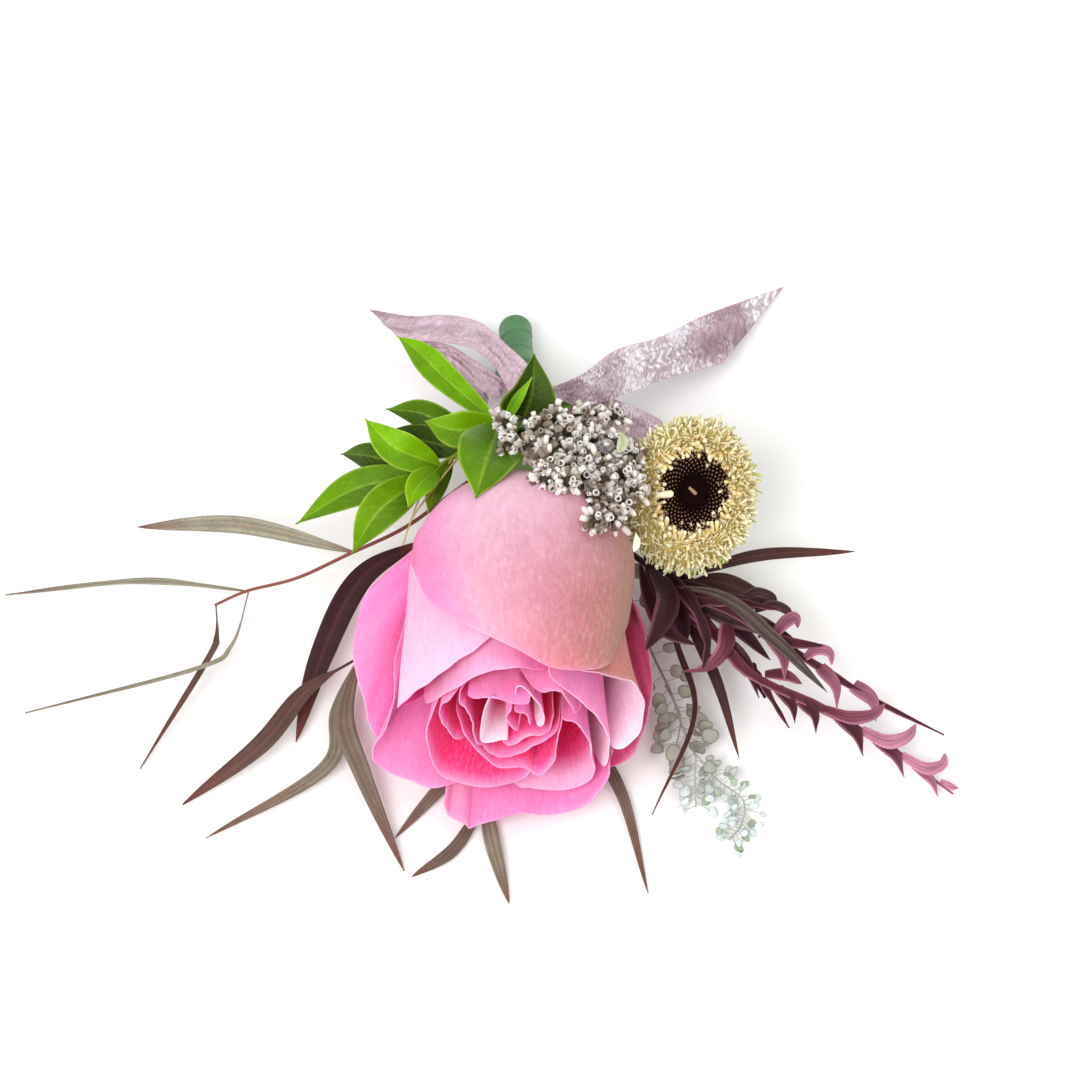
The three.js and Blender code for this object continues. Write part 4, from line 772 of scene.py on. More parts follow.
# The ovate leaves' sprigs: the slot of a stem in degrees round the handle, its wood and twigs as places of
# the view, and its leaves
OLIVE_SPRIGS = {
    "green_sprig_middle": dict(slot=117, wood=[(-4, 24.5, 27), (-8.2, 22.6, 30.5)], leaves=[
        leaf([(-3.4, 24.2, 26.9), (-1.6, 29.6, 31), (-1.2, 37.2, 35)], 11, roll=8, fold=0.5,
             outline="spade", shade=0.95),
        leaf([(-7, 23.4, 29), (-4.6, 27.6, 33), (-1.6, 32.6, 36)], 2.6, shade=0.1, roll=-30),
        leaf([(-4.2, 24.4, 27), (2, 26, 27), (6.6, 27, 24)], 5, shade=0.8),
        leaf([(-8, 22.8, 30.4), (-19, 32.4, 30), (-24, 37.4, 28), (-28.6, 40.8, 26)], 6, shade=0.15,
             fold=0.4),
        leaf([(-8.2, 22.6, 30.5), (-10.8, 15.6, 40.6), (-12.8, 8.4, 43.8)], 12.5, shade=0.5, fold=0.35),
        leaf([(-7.4, 23, 30), (-16.6, 22, 32), (-23, 23.8, 33)], 7.5, shade=0.3, fold=0.4),
    ]),
    "green_sprig_left": dict(slot=142, wood=[(-10, 21, 23), (-17.6, 16.4, 24.5), (-23, 12.6, 25)], twigs=[
        [(-16, 17, 24.6), (-21, 10.6, 26), (-25.4, 4.6, 25), (-27.4, -1, 22)],
        [(-17.6, 16, 24.6), (-23.4, 9.6, 25), (-26.6, 1.6, 22)],
    ], leaves=[
        leaf([(-13, 19, 23.8), (-22.6, 25, 26), (-30.8, 26.2, 24)], 6.4, roll=-15, shade=0.7),
        leaf([(-20, 14.8, 25), (-29, 18.4, 30), (-35, 24.2, 31)], 7.4, roll=10, shade=0.05, fold=0.45),
        leaf([(-14.6, 17.8, 24), (-24, 20, 23.5), (-31.4, 21.4, 20)], 6.6, shade=1.0),
        leaf([(-22.6, 12.8, 25), (-33, 16.6, 24), (-39.8, 17.2, 18)], 6, roll=-10, shade=0.9),
        leaf([(-22.6, 12.8, 25), (-36.6, 10.4, 23), (-48.8, 3.2, 15)], 7.4, shade=0.45),
        leaf([(-23, 12.6, 25), (-32, 6, 25), (-37.6, -2.6, 18)], 8, shade=0.4, fold=0.35),
        leaf([(-20.6, 14.2, 25.2), (-24.4, 10.6, 29), (-26.4, 6.6, 29)], 5.4, shade=0.0, fold=0.4),
        leaf([(-17.6, 16.4, 24.4), (-21, 10, 25), (-22.4, 5.4, 22)], 4, roll=-20, shade=0.6),
    ]),
}


def ovate_tones(u, v, shade, tint):
    """An ovate leaf: darker by its shade, a painted shade on leaves that lie behind others, and dark
    towards its foot and on one half, with pale slanting veins, margin and midrib.
    """
    # painted shade: a leaf that lies behind others is darkened by its shade
    body = blend(tint.leaf_green, tint.leaf_dark, shade + 0.3 * (1 - u) - 0.12 * np.sign(v))
    vein = np.exp(-(((u * 9 + np.abs(v) * 2.2) % 1 - 0.5) / 0.16) ** 2) * (1 - np.abs(v))
    body = blend(body, tint.leaf_margin, 0.1 * vein)
    body = blend(body, tint.leaf_margin, np.clip((np.abs(v) - 0.94) / 0.06, 0, 1) * (0.5 - 0.3 * shade))
    return blend(body, tint.leaf_margin, np.exp(-((v / 0.05) ** 2)) * (0.34 - 0.16 * shade))


class BOUTONNIERE_OT_green_leaves(bpy.types.Operator):
    """Builds the two sprigs of green ovate leaves"""

    bl_idname = "boutonniere.green_leaves"
    bl_label = "Green leaves"

    def execute(self, context):
        tint = colours()
        materials = [leaf_skin("green_leaf", 0.36, 0.22), stalk_skin("green_twig")]
        for name, sprig in OLIVE_SPRIGS.items():
            skin = Skin()
            wood = blend(tint.leaf_green, tint.willow_stem, 0.45)
            skin.tube(stem_line(sprig["slot"], sprig["wood"]), 0.5, 8, wood, 1)
            for spec in sprig["leaves"]:
                spec = {"outline": "ovate", "wave": 0.06, **spec}
                shade = spec.pop("shade")
                middle, u, v = leaf_surface(columns=19, rows=36, **spec)
                body = ovate_tones(u, v, shade, tint)
                under = blend(body, tint.leaf_margin, 0.35)
                slanted = np.stack([np.abs(v) * 0.5 + u * 0.4, u], -1)
                skin.blade(middle, in_mm(sizes().leaf_thickness), slanted, body, under)
            for twig in sprig.get("twigs", ()):
                line = Path(seen(twig)).at(np.linspace(0, 1, 20))
                skin.tube(line, np.linspace(0.25, 0.12, 20), 6, linear("#B7A765"), 1)
            settle(skin.object(name + "_leaves", materials), "green_leaf", name)
        return {"FINISHED"}


# The narrow leaves' sprigs, given the same way. A leaf's tone runs from dark through brown to olive.
WILLOW_SPRIGS = {
    "willow_sprig_far_left": dict(slot=192, wood=[
        (-18, 9, 14), (-27.2, 2.4, 14.5), (-38.2, -2.8, 13), (-48.6, -7.6, 11), (-58.6, -10.2, 9),
        (-65, -13, 8),
    ], leaves=[
        leaf([(-37.4, -2.4, 13), (-60, 3, 11), (-80.6, 2.6, 4)], 3.4, tone=1.0),
        leaf([(-58.6, -10.2, 9), (-80, -8.4, 7), (-107, -11, 1)], 1.9, roll=55, tone=0.9),
        leaf([(-64.8, -12.9, 8), (-64.6, -19.4, 7), (-66.4, -24, 6), (-80, -45.8, 0.4)], 1.8, roll=40,
             tone=0.4, outline="stalked"),
        leaf([(-58.2, -10.1, 9), (-61.6, -21, 7), (-68.8, -25.8, 6), (-103, -34.6, 0.4)], 1.2, roll=45,
             tone=0.95, outline="stalked"),
    ]),
    "willow_sprig_near_left": dict(slot=217, wood=[
        (-14, 8, 9), (-24, 0, 8), (-31, -13, 7), (-36.4, -24, 6),
    ], leaves=[
        leaf([(-24.6, -0.6, 8), (-36, -8, 8), (-44, -24, 5), (-48.8, -40.4, 1.5)], 5, tone=0.0),
        leaf([(-36, -23.4, 6), (-46.6, -30, 7), (-56, -41, 5), (-71.6, -53, 0.4)], 3.7, tone=0.4,
             outline="stalked"),
        leaf([(-36.2, -23.8, 6), (-40.4, -34, 5), (-43, -45.6, 3), (-66.8, -59.6, 0.4)], 3.0, tone=0.7),
        leaf([(-36.4, -24, 6), (-39, -35.6, 7), (-35.6, -46.4, 5), (-27.2, -66.2, 0.4)], 3.8, tone=0.6),
    ]),
    "willow_sprig_under": dict(slot=242, wood=[
        (-8, 8, 6), (-8, -8, 2), (-9, -30, 1.2), (-11, -52, 1),
    ], leaves=[
        leaf([(-10, -41, 1.1), (-18.6, -48.2, 1.4), (-29, -59.6, 0.4)], 2.6, tone=0.6),
        leaf([(-11, -51.6, 1), (-17, -61.5, 1.2), (-25.7, -67.4, 0.4)], 2.4, tone=0.5),
        leaf([(-11, -51.6, 1), (-9.6, -60, 1.2), (-6.2, -72.7, 0.4)], 3, tone=0.75),
        leaf([(-9, -30, 1.2), (8, -40, 1.4), (16, -50, 1.2), (21.6, -70.6, 0.4)], 2.6, tone=0.55),
    ]),
    "willow_sprig_right": dict(slot=292, wood=[(4, 8, 8), (14, 3, 7), (25, -5, 7), (31, -8, 7)], leaves=[
        leaf([(30, -7, 7), (44, -3, 8), (63, -2.3, 6)], 2.4, tone=0.25),
        leaf([(31, -8, 7), (38, -9, 9), (48.2, -13.8, 8)], 4, tone=0.2),
        leaf([(24, -4.4, 7), (31.6, -20, 8), (36, -30, 7), (39.8, -43.6, 4)], 2.2, tone=0.0),
        leaf([(22, -2.6, 7), (27.4, -20.6, 10), (31, -35, 9), (22.4, -55, 5)], 1.4, roll=40, tone=0.1),
    ]),
}


def narrow_tones(u, v, tone, phase, tint):
    """A narrow leaf: dark, brown or olive by its tone, in lengthwise stripes, with rusty ends and midrib."""
    stripe = 0.5 + 0.5 * np.sin(v * 9 + phase + u * 2)
    body = blend(tint.willow_dark, tint.willow_brown, np.clip(tone * 1.6, 0, 1) * (0.6 + 0.5 * stripe))
    body = blend(body, tint.willow_olive, np.clip(tone * 1.7 - 0.6, 0, 1) * (0.55 + 0.45 * stripe))
    ends = np.clip((u - 0.72) / 0.25, 0, 1) + np.clip((0.12 - u) / 0.12, 0, 1)
    body = blend(body, blend(tint.willow_dark, tint.willow_stem, 0.55), ends * 0.7)
    return blend(body, tint.willow_stem, np.exp(-((v / 0.13) ** 2)) * (0.2 + 0.15 * tone))


class BOUTONNIERE_OT_willow_leaves(bpy.types.Operator):
    """Builds the four sprigs of narrow dark leaves"""

    bl_idname = "boutonniere.willow_leaves"
    bl_label = "Willow leaves"

    def execute(self, context):
        tint = colours()
        materials = [leaf_skin("willow_leaf", 0.45, 0.2), stalk_skin("willow_twig")]
        for name, sprig in WILLOW_SPRIGS.items():
            skin = Skin()
            wood = stem_line(sprig["slot"], sprig["wood"], 90)
            skin.tube(wood, np.linspace(0.5, 0.28, len(wood)), 8, np.array(tint.willow_stem), 1)
            for number, spec in enumerate(sprig["leaves"]):
                spec = {"outline": "willow", "wave": 0.16, **spec}
                tone = spec.pop("tone")
                middle, u, v = leaf_surface(columns=11, rows=64, **spec)
                body = narrow_tones(u, v, tone, number * 2, tint)
                under = blend(tint.willow_olive, tint.willow_stem, np.exp(-((v / 0.14) ** 2)) * 0.5)
                lengthwise = np.stack([v * 0.15 + 0.5, u * 3], -1)
                skin.blade(middle, in_mm(sizes().narrow_leaf_thickness), lengthwise, body, under)
            settle(skin.object(name + "_leaves", materials), "willow_leaf", name)
        return {"FINISHED"}


# Grevillea: each blade with its midrib as places of the view, its width in mm, outline, roll and tone,
# which runs from olive through dark red to pink. The two long leaves are a midrib blade, and their lobes
# are blades of their own that grow from it.
GREVILLEA = dict(slot=317, wood=[(6, 6, 9), (16, -1, 11), (24, -7, 12), (30, -11.4, 12)], blades=[
    leaf([(24.6, -7.8, 12), (35.4, -19.4, 11.5), (42.4, -27, 10.5), (56.2, -33.6, 7.4), (70, -41.6, 4),
          (82.6, -50.8, 1.2)], 2.9, tone=0.3),
    leaf([(27.6, -9.6, 13), (39.2, -14.8, 14), (49.2, -21.2, 13), (58.4, -27, 11), (67.6, -32.4, 8.5),
          (80.8, -39, 5)], 2.6, tone=0.2),
    leaf([(27.6, -9.4, 15), (33.8, -10.4, 18), (38.4, -12.4, 18.6), (42.3, -15.5, 18), (45.4, -18.6, 17.4),
          (49.2, -22, 16), (53, -25.9, 15), (57.4, -30.4, 13.5)], 2.8, tone=-0.4, outline="willow",
         fold=0.1),
    leaf([(30, -12.4, 14), (39.2, -12.4, 15), (48.4, -14, 14)], 2.6, tone=0.15),
    leaf([(37.6, -17, 14), (37.2, -21.6, 13.6), (33.6, -25.4, 12), (28.2, -26.4, 11)], 4.2, tone=0.36,
         outline="lobe", roll=-25, fold=-0.3),
    leaf([(22, -5.6, 12), (25.4, -11, 18), (24.4, -16, 22), (21.2, -22, 23)], 4.6, tone=0.0,
         outline="willow"),
    leaf([(24, -6, 12), (30, -12, 16), (33.4, -20, 15), (32.6, -25.6, 13)], 3.4, tone=0.0),
    leaf([(25, -7, 10), (32, -16, 9), (41, -24, 8), (45, -31.6, 7)], 4.2, tone=0.0),
    leaf([(42, -25, 9), (44.6, -29, 8.5), (49.8, -37.6, 5)], 2.2, tone=0.15),
    leaf([(28, -8, 10), (38, -12, 11), (47.6, -13, 10)], 2.8, tone=-0.1, outline="willow"),
    leaf([(27, -8.6, 12), (35, -14, 12), (44, -17, 12), (52, -21, 11)], 4.0, tone=-0.15, outline="willow"),
    # dark blades laid in the deep shade between the rose and the gerbera: their darkness is painted shade
    leaf([(21, -3, 12), (24, -9, 12), (28, -16, 11), (29, -21, 10)], 4.4, tone=0.0, outline="willow"),
    leaf([(22, -3, 9), (29, -9, 8), (38, -16, 8), (46, -24, 7)], 4.0, tone=0.0, outline="willow"),
    leaf([(20, -5, 14), (22, -12, 15), (25, -18, 15), (31, -21, 14)], 3.0, tone=0.05, outline="willow"),
    # lobes below the long leaves: broad at the midrib and pointed
    leaf([(47.6, -29.6, 9), (50.4, -33, 8), (51, -36.6, 7)], 2.6, tone=0.1, outline="lobe"),
    leaf([(52, -32, 8), (54.8, -34.8, 7.4), (55.2, -38.6, 6.6)], 2.8, tone=0.15, outline="lobe"),
    leaf([(59.6, -35, 7), (63.2, -38.6, 6), (64.6, -43.2, 5)], 3.2, tone=0.2, outline="lobe"),
    leaf([(67.2, -39.6, 5), (71, -43, 4), (72.8, -47.4, 3)], 3.0, tone=0.3, outline="lobe"),
    leaf([(75, -45, 3), (78.2, -48, 2.2), (79.6, -51.4, 1.4)], 2.2, tone=0.6, outline="lobe"),
    leaf([(80, -48.4, 1.8), (82.4, -49.4, 1.6), (83.8, -49.6, 1.4)], 1.6, tone=0.8, outline="lobe"),
    leaf([(62.6, -29, 10), (66.4, -32, 9), (67.2, -36.2, 8)], 3.4, tone=0.55, outline="lobe"),
    leaf([(46, -19, 13), (48.6, -23, 12), (49, -28.2, 11)], 3.4, tone=0.42, outline="lobe"),
    leaf([(56, -25.4, 12), (59, -29, 11), (59.4, -34, 10)], 3.0, tone=0.48, outline="lobe"),
    leaf([(36.6, -20.6, 11), (41, -24.6, 10.4), (43.8, -31.6, 8.4)], 3.6, tone=0.05, outline="lobe"),
    # lobes above them: longer, curling back up at their tips
    leaf([(57, -33.8, 7.6), (62, -35.4, 8), (66.6, -34.8, 8.6), (69, -32.8, 9)], 2.8, tone=0.4,
         outline="strap", roll=12),
    leaf([(64.4, -38, 6), (69.4, -40.2, 6.2), (73.4, -39.2, 7), (75.2, -36.8, 7.6)], 3.0, tone=0.8,
         outline="strap", roll=12),
    leaf([(72.4, -43, 4), (77, -45.6, 4.4), (80.4, -44.8, 5.2), (81, -42.6, 6)], 2.6, tone=0.85,
         outline="strap", roll=12),
    leaf([(44.6, -19, 14.5), (50.6, -20.6, 15), (57, -21.2, 13.6)], 2.2, tone=0.2, outline="strap"),
    leaf([(46.6, -19.4, 13.5), (49, -16.6, 14.5), (51, -15.6, 14), (51.6, -17.6, 13)], 2.8, tone=0.5,
         outline="strap", roll=-20),
    leaf([(53, -23.6, 12.6), (55.4, -22, 13.4), (57.8, -22.6, 13), (58.4, -25, 12)], 2.4, tone=0.6,
         outline="strap", roll=-20),
    leaf([(45, -26.8, 9.6), (49, -27, 10), (52.4, -28.8, 9.6)], 2.4, tone=0.3, outline="strap"),
    # dark curled bits behind
    leaf([(40, -12, 11), (43, -10.4, 12), (46.4, -11.4, 11.6), (47, -13.6, 10.6)], 2.0, tone=-0.15,
         outline="strap"),
    leaf([(43, -14, 11.6), (46.6, -13, 12.6), (49.6, -14.4, 12), (49.4, -17, 11)], 2.0, tone=-0.2,
         outline="strap"),
    leaf([(39, -15.6, 12), (42.6, -15.4, 13), (45, -17.6, 12.4), (43.6, -19.6, 11.6)], 2.2, tone=-0.1,
         outline="strap"),
])


def cut_leaf_tones(u, v, tone, phase, tint):
    """A blade of a cut leaf: dark red to pink by its tone, or olive below 0, in dark streaks, with one pink
    margin and a dark midrib."""
    pinker = np.clip(tone * 1.1 + 0.25 * u * (tone > 0.2), 0, 1)
    body = blend(tint.grevillea_dark, tint.grevillea_red, np.clip(pinker * 1.8, 0, 1))
    body = blend(body, tint.grevillea_pink, np.clip(pinker * 1.6 - 0.7, 0, 0.85))
    body = blend(body, tint.willow_olive, np.clip(-tone, 0, 1) * (0.5 + 0.35 * np.sin(v * 6 + u * 3)))
    edge = np.clip((np.abs(v) - 0.6) / 0.3, 0, 1) * (0.1 + 0.55 * (np.sign(v) > 0)) * (tone > -0.3)
    body = blend(body, tint.grevillea_dark, (0.5 + 0.5 * np.sin(v * 11 + u * 9 + phase)) * 0.45)
    body = blend(body, tint.grevillea_pink, edge * np.clip(0.35 + tone, 0.1, 1))
    return blend(body, tint.grevillea_dark, np.exp(-((v / 0.12) ** 2)) * 0.35)


class BOUTONNIERE_OT_grevillea(bpy.types.Operator):
    """Builds the sprig of dark red cut leaves"""

    bl_idname = "boutonniere.grevillea"
    bl_label = "Grevillea"

    def execute(self, context):
        tint = colours()
        skin = Skin()
        skin.tube(stem_line(GREVILLEA["slot"], GREVILLEA["wood"]), 0.6, 8, np.array(tint.grevillea_dark), 1)
        for number, spec in enumerate(GREVILLEA["blades"]):
            spec = {"outline": "rib", "wave": 0.1, "fold": 0.3, **spec}
            tone = spec.pop("tone")
            middle, u, v = leaf_surface(rows=34, columns=11, **spec)
            body = cut_leaf_tones(u, v, tone, number, tint)
            under = blend(body, tint.grevillea_pink, 0.3)
            thick = in_mm(sizes().cut_leaf_thickness)
            skin.blade(middle, thick, np.stack([v * 0.3 + 0.5, u * 2], -1), body, under)
        materials = [leaf_skin("grevillea_leaf", 0.42, 0.3), stalk_skin("grevillea_twig")]
        settle(skin.object("grevillea_leaves", materials), "grevillea_leaf", "grevillea_sprig")
        return {"FINISHED"}


# Creeper: each stem as places of the view, with its count of leaves, the share of it that is bare, and the
# size of its leaves in mm
CREEPER = dict(slot=267, stems=[
    dict(wood=[(3, 6, 7), (16, -8, 3.5), (22.6, -23, 4), (26.2, -30.6, 4.5), (28.6, -37.6, 4),
               (31.2, -43.2, 3.4)],
         leaves=26, bare=0.5, size=3.2),
    dict(wood=[(31.2, -43.2, 3.4), (31, -48, 2.4), (31.2, -53.4, 1.4)], leaves=16, bare=0.05, size=2.7),
    dict(wood=[(31, -42.6, 3.4), (35.6, -48, 2.6), (40.6, -52, 2), (40.4, -56.6, 1.6), (37.8, -60, 1)],
         leaves=44, bare=0.08, size=2.1),
    dict(wood=[(25, -29, 4.4), (28, -35, 3.6), (27.4, -41, 2.8)], leaves=8, bare=0.2, size=3.0),
])


# Below this place of the view the creeper's leaves turn small, pale and narrow, over a stretch of 8 mm
CREEPER_LOW = -49.0


def round_leaf(skin, draw, foot, forward, hand, size, wooden, tint):
    """One round leaf on a stalk beside the stem, to the left or right by its hand. The leaf is a disc of
    rings, slightly lobed by a cosine of three turns, which bends down towards its edge by the square of the
    way out."""
    side = unit(np.cross(forward, TO_EYE)) * hand
    out = unit(side * 0.85 + forward * (0.1 + 0.5 * draw.random()))
    joint = foot + out * (0.6 + 2.2 * draw.random()) + TO_EYE * 2.2 * (draw.random() - 0.4)
    joint[2] = max(joint[2], 0.5)
    low = np.clip((CREEPER_LOW - foot[1]) / 8, 0, 1)
    size = size * (0.72 + 0.4 * draw.random()) * (1 - 0.22 * low)
    tilt = unit(TO_EYE + 0.6 * draw.standard_normal(3))
    across = unit(np.cross(out, tilt))
    tilt = np.cross(across, out)
    ring = np.linspace(0, FULL_TURN, 17)[None, :]
    way = np.linspace(0.02, 1, 6)[:, None]
    lobes = 1 + 0.06 * np.cos(3 * ring) + 0.16 * low * np.cos(2 * ring + 9 * draw.random())
    reach = way * size / 2 * lobes
    drop = 0.12 * size * way**2 * (1 + 0.5 * np.cos(2 * ring))
    middle = (joint + out * size * 0.5 + out * (reach * np.cos(ring))[..., None]
              + across * (reach * np.sin(ring))[..., None] * 0.92 - tilt * drop[..., None])
    paleness = np.full(reach.shape, low * (0.55 + 0.45 * draw.random()))
    body = blend(tint.creeper_leaf, tint.creeper_pale, paleness)
    body = blend(body, linear("#7E9A55"), 0.7 * low * (draw.random() > 0.78))
    body = blend(body, linear("#6C7266"), 0.6 * np.clip((way - 0.8) / 0.2, 0, 1) * (1 - 0.6 * low))
    half = tilt * in_mm(sizes().round_leaf_thickness) / 2
    shell = np.concatenate([middle + half, (middle - half)[::-1]], 0)
    shell[..., 2] = np.maximum(shell[..., 2], TABLE_GAP)
    skin.grid(shell, paint=np.concatenate([body, body[::-1]], 0))
    stalk = Path([foot, (foot + joint) / 2 + tilt * 0.2, joint + out * 0.3])
    skin.tube(stalk.at(np.linspace(0, 1, 6)), 0.07, 5, wooden, 1)


class BOUTONNIERE_OT_creeper(bpy.types.Operator):
    """Builds the creeper: hair-thin stems with small round leaves on stalks, alternately left and right"""

    bl_idname = "boutonniere.creeper"
    bl_label = "Creeper"

    def execute(self, context):
        tint = colours()
        draw = np.random.default_rng(12)
        skin = Skin()
        for branch, spec in enumerate(CREEPER["stems"]):
            wood = seen(spec["wood"])
            path = Path(wood if branch else np.vstack([from_slot(CREEPER["slot"]), wood]))
            wooden = blend(tint.creeper_stem, linear("#B4BCAE"), 0.65 * (branch in (1, 2)))
            skin.tube(path.at(np.linspace(0, 1, 80)), 0.15 if branch else 0.24, 6, wooden, 1)
            count = spec["leaves"]
            share = spec["bare"] + (1 - spec["bare"]) * (np.arange(count) + 0.5) / count
            for k, (foot, forward) in enumerate(zip(path.at(share), path.tangent(share))):
                round_leaf(skin, draw, foot, forward, 1 if k % 2 else -1, spec["size"], wooden, tint)
        materials = [leaf_skin("creeper_leaf", 0.5, 0.12), stalk_skin("creeper_stem")]
        settle(skin.object("creeper_leaves", materials), "creeper_leaf", "creeper_sprig")
        return {"FINISHED"}


# Gerbera. Its own frame has +Y along the flower's axis. The turn between the two is the shortest one, by
# the usual formula from their cross product.
gerbera_axis = unit([0.14, -0.42, 0.9])
axle = np.cross([0, 1, 0], gerbera_axis)
skew = np.array([[0, -axle[2], axle[1]], [axle[2], 0, -axle[0]], [-axle[1], axle[0], 0]])
gerbera_turn = np.eye(3) + skew + skew @ skew / (1 + gerbera_axis[1])


def in_gerbera(turn, out, along):
    """The point at a turn round the flower, a radius, and a distance along its axis from its face. The
    flower is pressed into an oval, so it is longer one way than the other."""
    turn, out, along = np.broadcast_arrays(*(np.asarray(x, float) for x in (turn, out, along)))
    local = np.stack([out * np.cos(turn), along, out * np.sin(turn) * GERBERA_OVAL], -1)
    return local @ gerbera_turn.T + GERBERA_FACE


# The cushion that the rays grow from, as (radius, height), from the disc over the top to the cup
CUSHION = [(6.9, -0.6), (7.9, 0.2), (9.3, 0.1), (10.8, -0.9), (11.8, -2.6), (12, -4.6), (10.9, -6.6),
           (8.4, -8.2)]
PRESSED_SIDE = np.radians(150)


def strap_florets(skin, turn, foot, lean, length, width, curl, twist, low, high, plump=0.0, sides=4, rows=7):
    """Many narrow florets at once. Each starts at a foot (radius and height), leans from the flower's axis
    by an angle that grows by its curl along the way, swerves round the flower by its twist, and is a
    hollowed tube whose width swells and closes to a blunt tip."""
    count = len(turn)
    plump = np.broadcast_to(plump, count)[:, None, None, None]
    way = np.sin(np.linspace(0, 1, rows) * np.pi / 2)[None, :]
    angle = lean[:, None] + curl[:, None] * way
    step = length[:, None] * np.diff(way, prepend=0)
    out = foot[:, :1] + np.cumsum(np.sin(angle) * step, 1)
    high_at = foot[:, 1:] + np.cumsum(np.cos(angle) * step, 1)
    half = width[:, None] / 2 * (0.6 + 0.4 * way) * np.sqrt(np.maximum(0, 1 - way**9))
    place = turn[:, None] + twist[:, None] * way**1.5 / np.maximum(out, 3)
    centre = in_gerbera(place, out, high_at)
    forward = unit(np.gradient(centre, axis=1))
    side = unit(in_gerbera(place + np.pi / 2, 1.0, 0.0) - GERBERA_FACE) + 0 * forward
    side = unit(side - forward * (side * forward).sum(-1, keepdims=True))
    thick = np.cross(side, forward)
    ring = np.linspace(0, FULL_TURN, sides + 1)[None, None, :, None]
    flat = half[..., None, None]
    depth = np.sin(ring) * (0.32 + 0.5 * plump) * flat + 0.4 * flat * np.cos(ring) ** 2
    body = centre[:, :, None] + side[:, :, None] * np.cos(ring) * flat + thick[:, :, None] * depth
    paint = low[:, None] * (1 - way[..., None]) + high[:, None] * way[..., None]
    for k in range(count):
        skin.grid(body[k], paint=paint[k][:, None])


def fine_rays(skin, draw, cushion, count, tint):
    """The fine rays, spread over the cushion by the golden angle. They stand in clumps by a product of
    sines, are shorter on the pressed side, gold beside the disc, cream further out, and some of the
    outermost are green."""
    turn = np.arange(count) * GOLDEN
    share = (np.arange(count) + 0.5) / count
    plump = np.clip(1.5 - share / 0.1, 0, 1) * (draw.random(count) > 0.25 + share)
    way = cushion.tangent(share)
    foot = cushion.at(share)[:, :2] - np.stack([-way[:, 1], way[:, 0]], -1) * 0.5
    clump = np.sin(11 * turn + 5 * np.sin(23 * share)) * np.sin(7 * turn - 31 * share)
    upright = np.arctan2(-way[:, 1], way[:, 0]) * 0.8 - 0.35 * (1 - share)
    lean = upright + draw.normal(0, 0.36, count) + 0.3 * clump
    pressed = 1 - 0.35 * np.maximum(0, np.cos(turn - PRESSED_SIDE)) * share
    longest = in_mm(sizes().ray_length)
    length = longest * (0.4 + 0.6 * draw.random(count)) * pressed * (0.7 + 0.2 * plump + 0.3 * share)
    length = length * (1 + 0.25 * clump)
    width = (0.72 + 0.5 * plump - 0.2 * share) * (0.7 + 0.6 * draw.random(count))
    curl = draw.normal(0.1, 0.6, count)
    twist = draw.normal(0, 0.7, count)
    gold = np.clip(1.1 - share * 3.2 + draw.normal(0, 0.3, count), 0, 1)
    green = np.clip((share - 0.62) * 5, 0, 1) * (draw.random(count) > 0.66)
    length = length * (1 + 0.45 * green)
    light = draw.random(count)
    dull = 0.55 * (draw.random(count) > 0.7)
    tip = blend(tint.ray_cream, linear("#FFF9DF"), light * 0.6)
    tip = blend(tip, tint.ray_gold, gold * 0.4 * light)
    tip = blend(blend(tip, tint.ray_root, dull * (1 - plump)), tint.ray_green, green)
    root = blend(blend(tint.ray_cream, tint.ray_root, 0.55 + 0.3 * light), tint.ray_gold, gold * 0.8)
    root = blend(root, tint.ray_green, green * 0.8)
    strap_florets(skin, turn, foot, lean, length, width, curl, twist, root, tip, plump)


def plump_florets(skin, draw, count, tint):
    """The plump florets in a ring round the disc, which lean inwards over it."""
    turn = FULL_TURN * (np.arange(count) + 0.8 * draw.random(count)) / count
    inward = draw.random(count)
    foot = np.stack([7.3 + 1.3 * (1 - inward), 0.1 + 0.3 * draw.random(count)], -1)
    peach = blend(tint.ray_cream, tint.ray_gold, 0.6 * draw.random(count) ** 2)
    lean = -0.75 * inward - 0.3 + draw.normal(0, 0.2, count)
    length = 2 + 1.2 * draw.random(count)
    width = 0.8 + 0.4 * draw.random(count)
    curl = draw.normal(-0.1, 0.3, count)
    twist = draw.normal(0, 0.5, count)
    root = blend(tint.ray_gold, tint.ray_root, 0.3 + 0.6 * draw.random(count))
    strap_florets(skin, turn, foot, lean, length, width, curl, twist, root, peach, 1.0, 6)


def ray_cushion(skin, cushion, tint):
    """The closed body under the rays: the cushion's profile, a little lower than the rays' feet, turned
    round."""
    around = np.linspace(0, FULL_TURN, 49)
    profile = cushion.at(np.linspace(0, 1, 16))[:, :2] - [0.2, 0.3]
    profile = np.vstack([[0.001, -1.6], [6.7, -1.6], profile, [3.8, -10], [0.001, -10]])
    core = in_gerbera(around[None, :], profile[:, :1], profile[:, 1:])
    skin.grid(core, paint=blend(tint.ray_root, tint.leaf_dark, 0.25))


class BOUTONNIERE_OT_gerbera_rays(bpy.types.Operator):
    """Builds the gerbera's rays over their cushion"""

    bl_idname = "boutonniere.gerbera_rays"
    bl_label = "Gerbera rays"

    def execute(self, context):
        tint = colours()
        draw = np.random.default_rng(5)
        skin = Skin()
        cushion = Path([(r, h, 0) for r, h in CUSHION])
        fine_rays(skin, draw, cushion, sizes().ray_count, tint)
        plump_florets(skin, draw, sizes().plump_count, tint)
        ray_cushion(skin, cushion, tint)
        settle(skin.object("gerbera_ray_florets", [floret_skin("gerbera_ray")]), "gerbera_ray",
               "gerbera_rays")
        return {"FINISHED"}


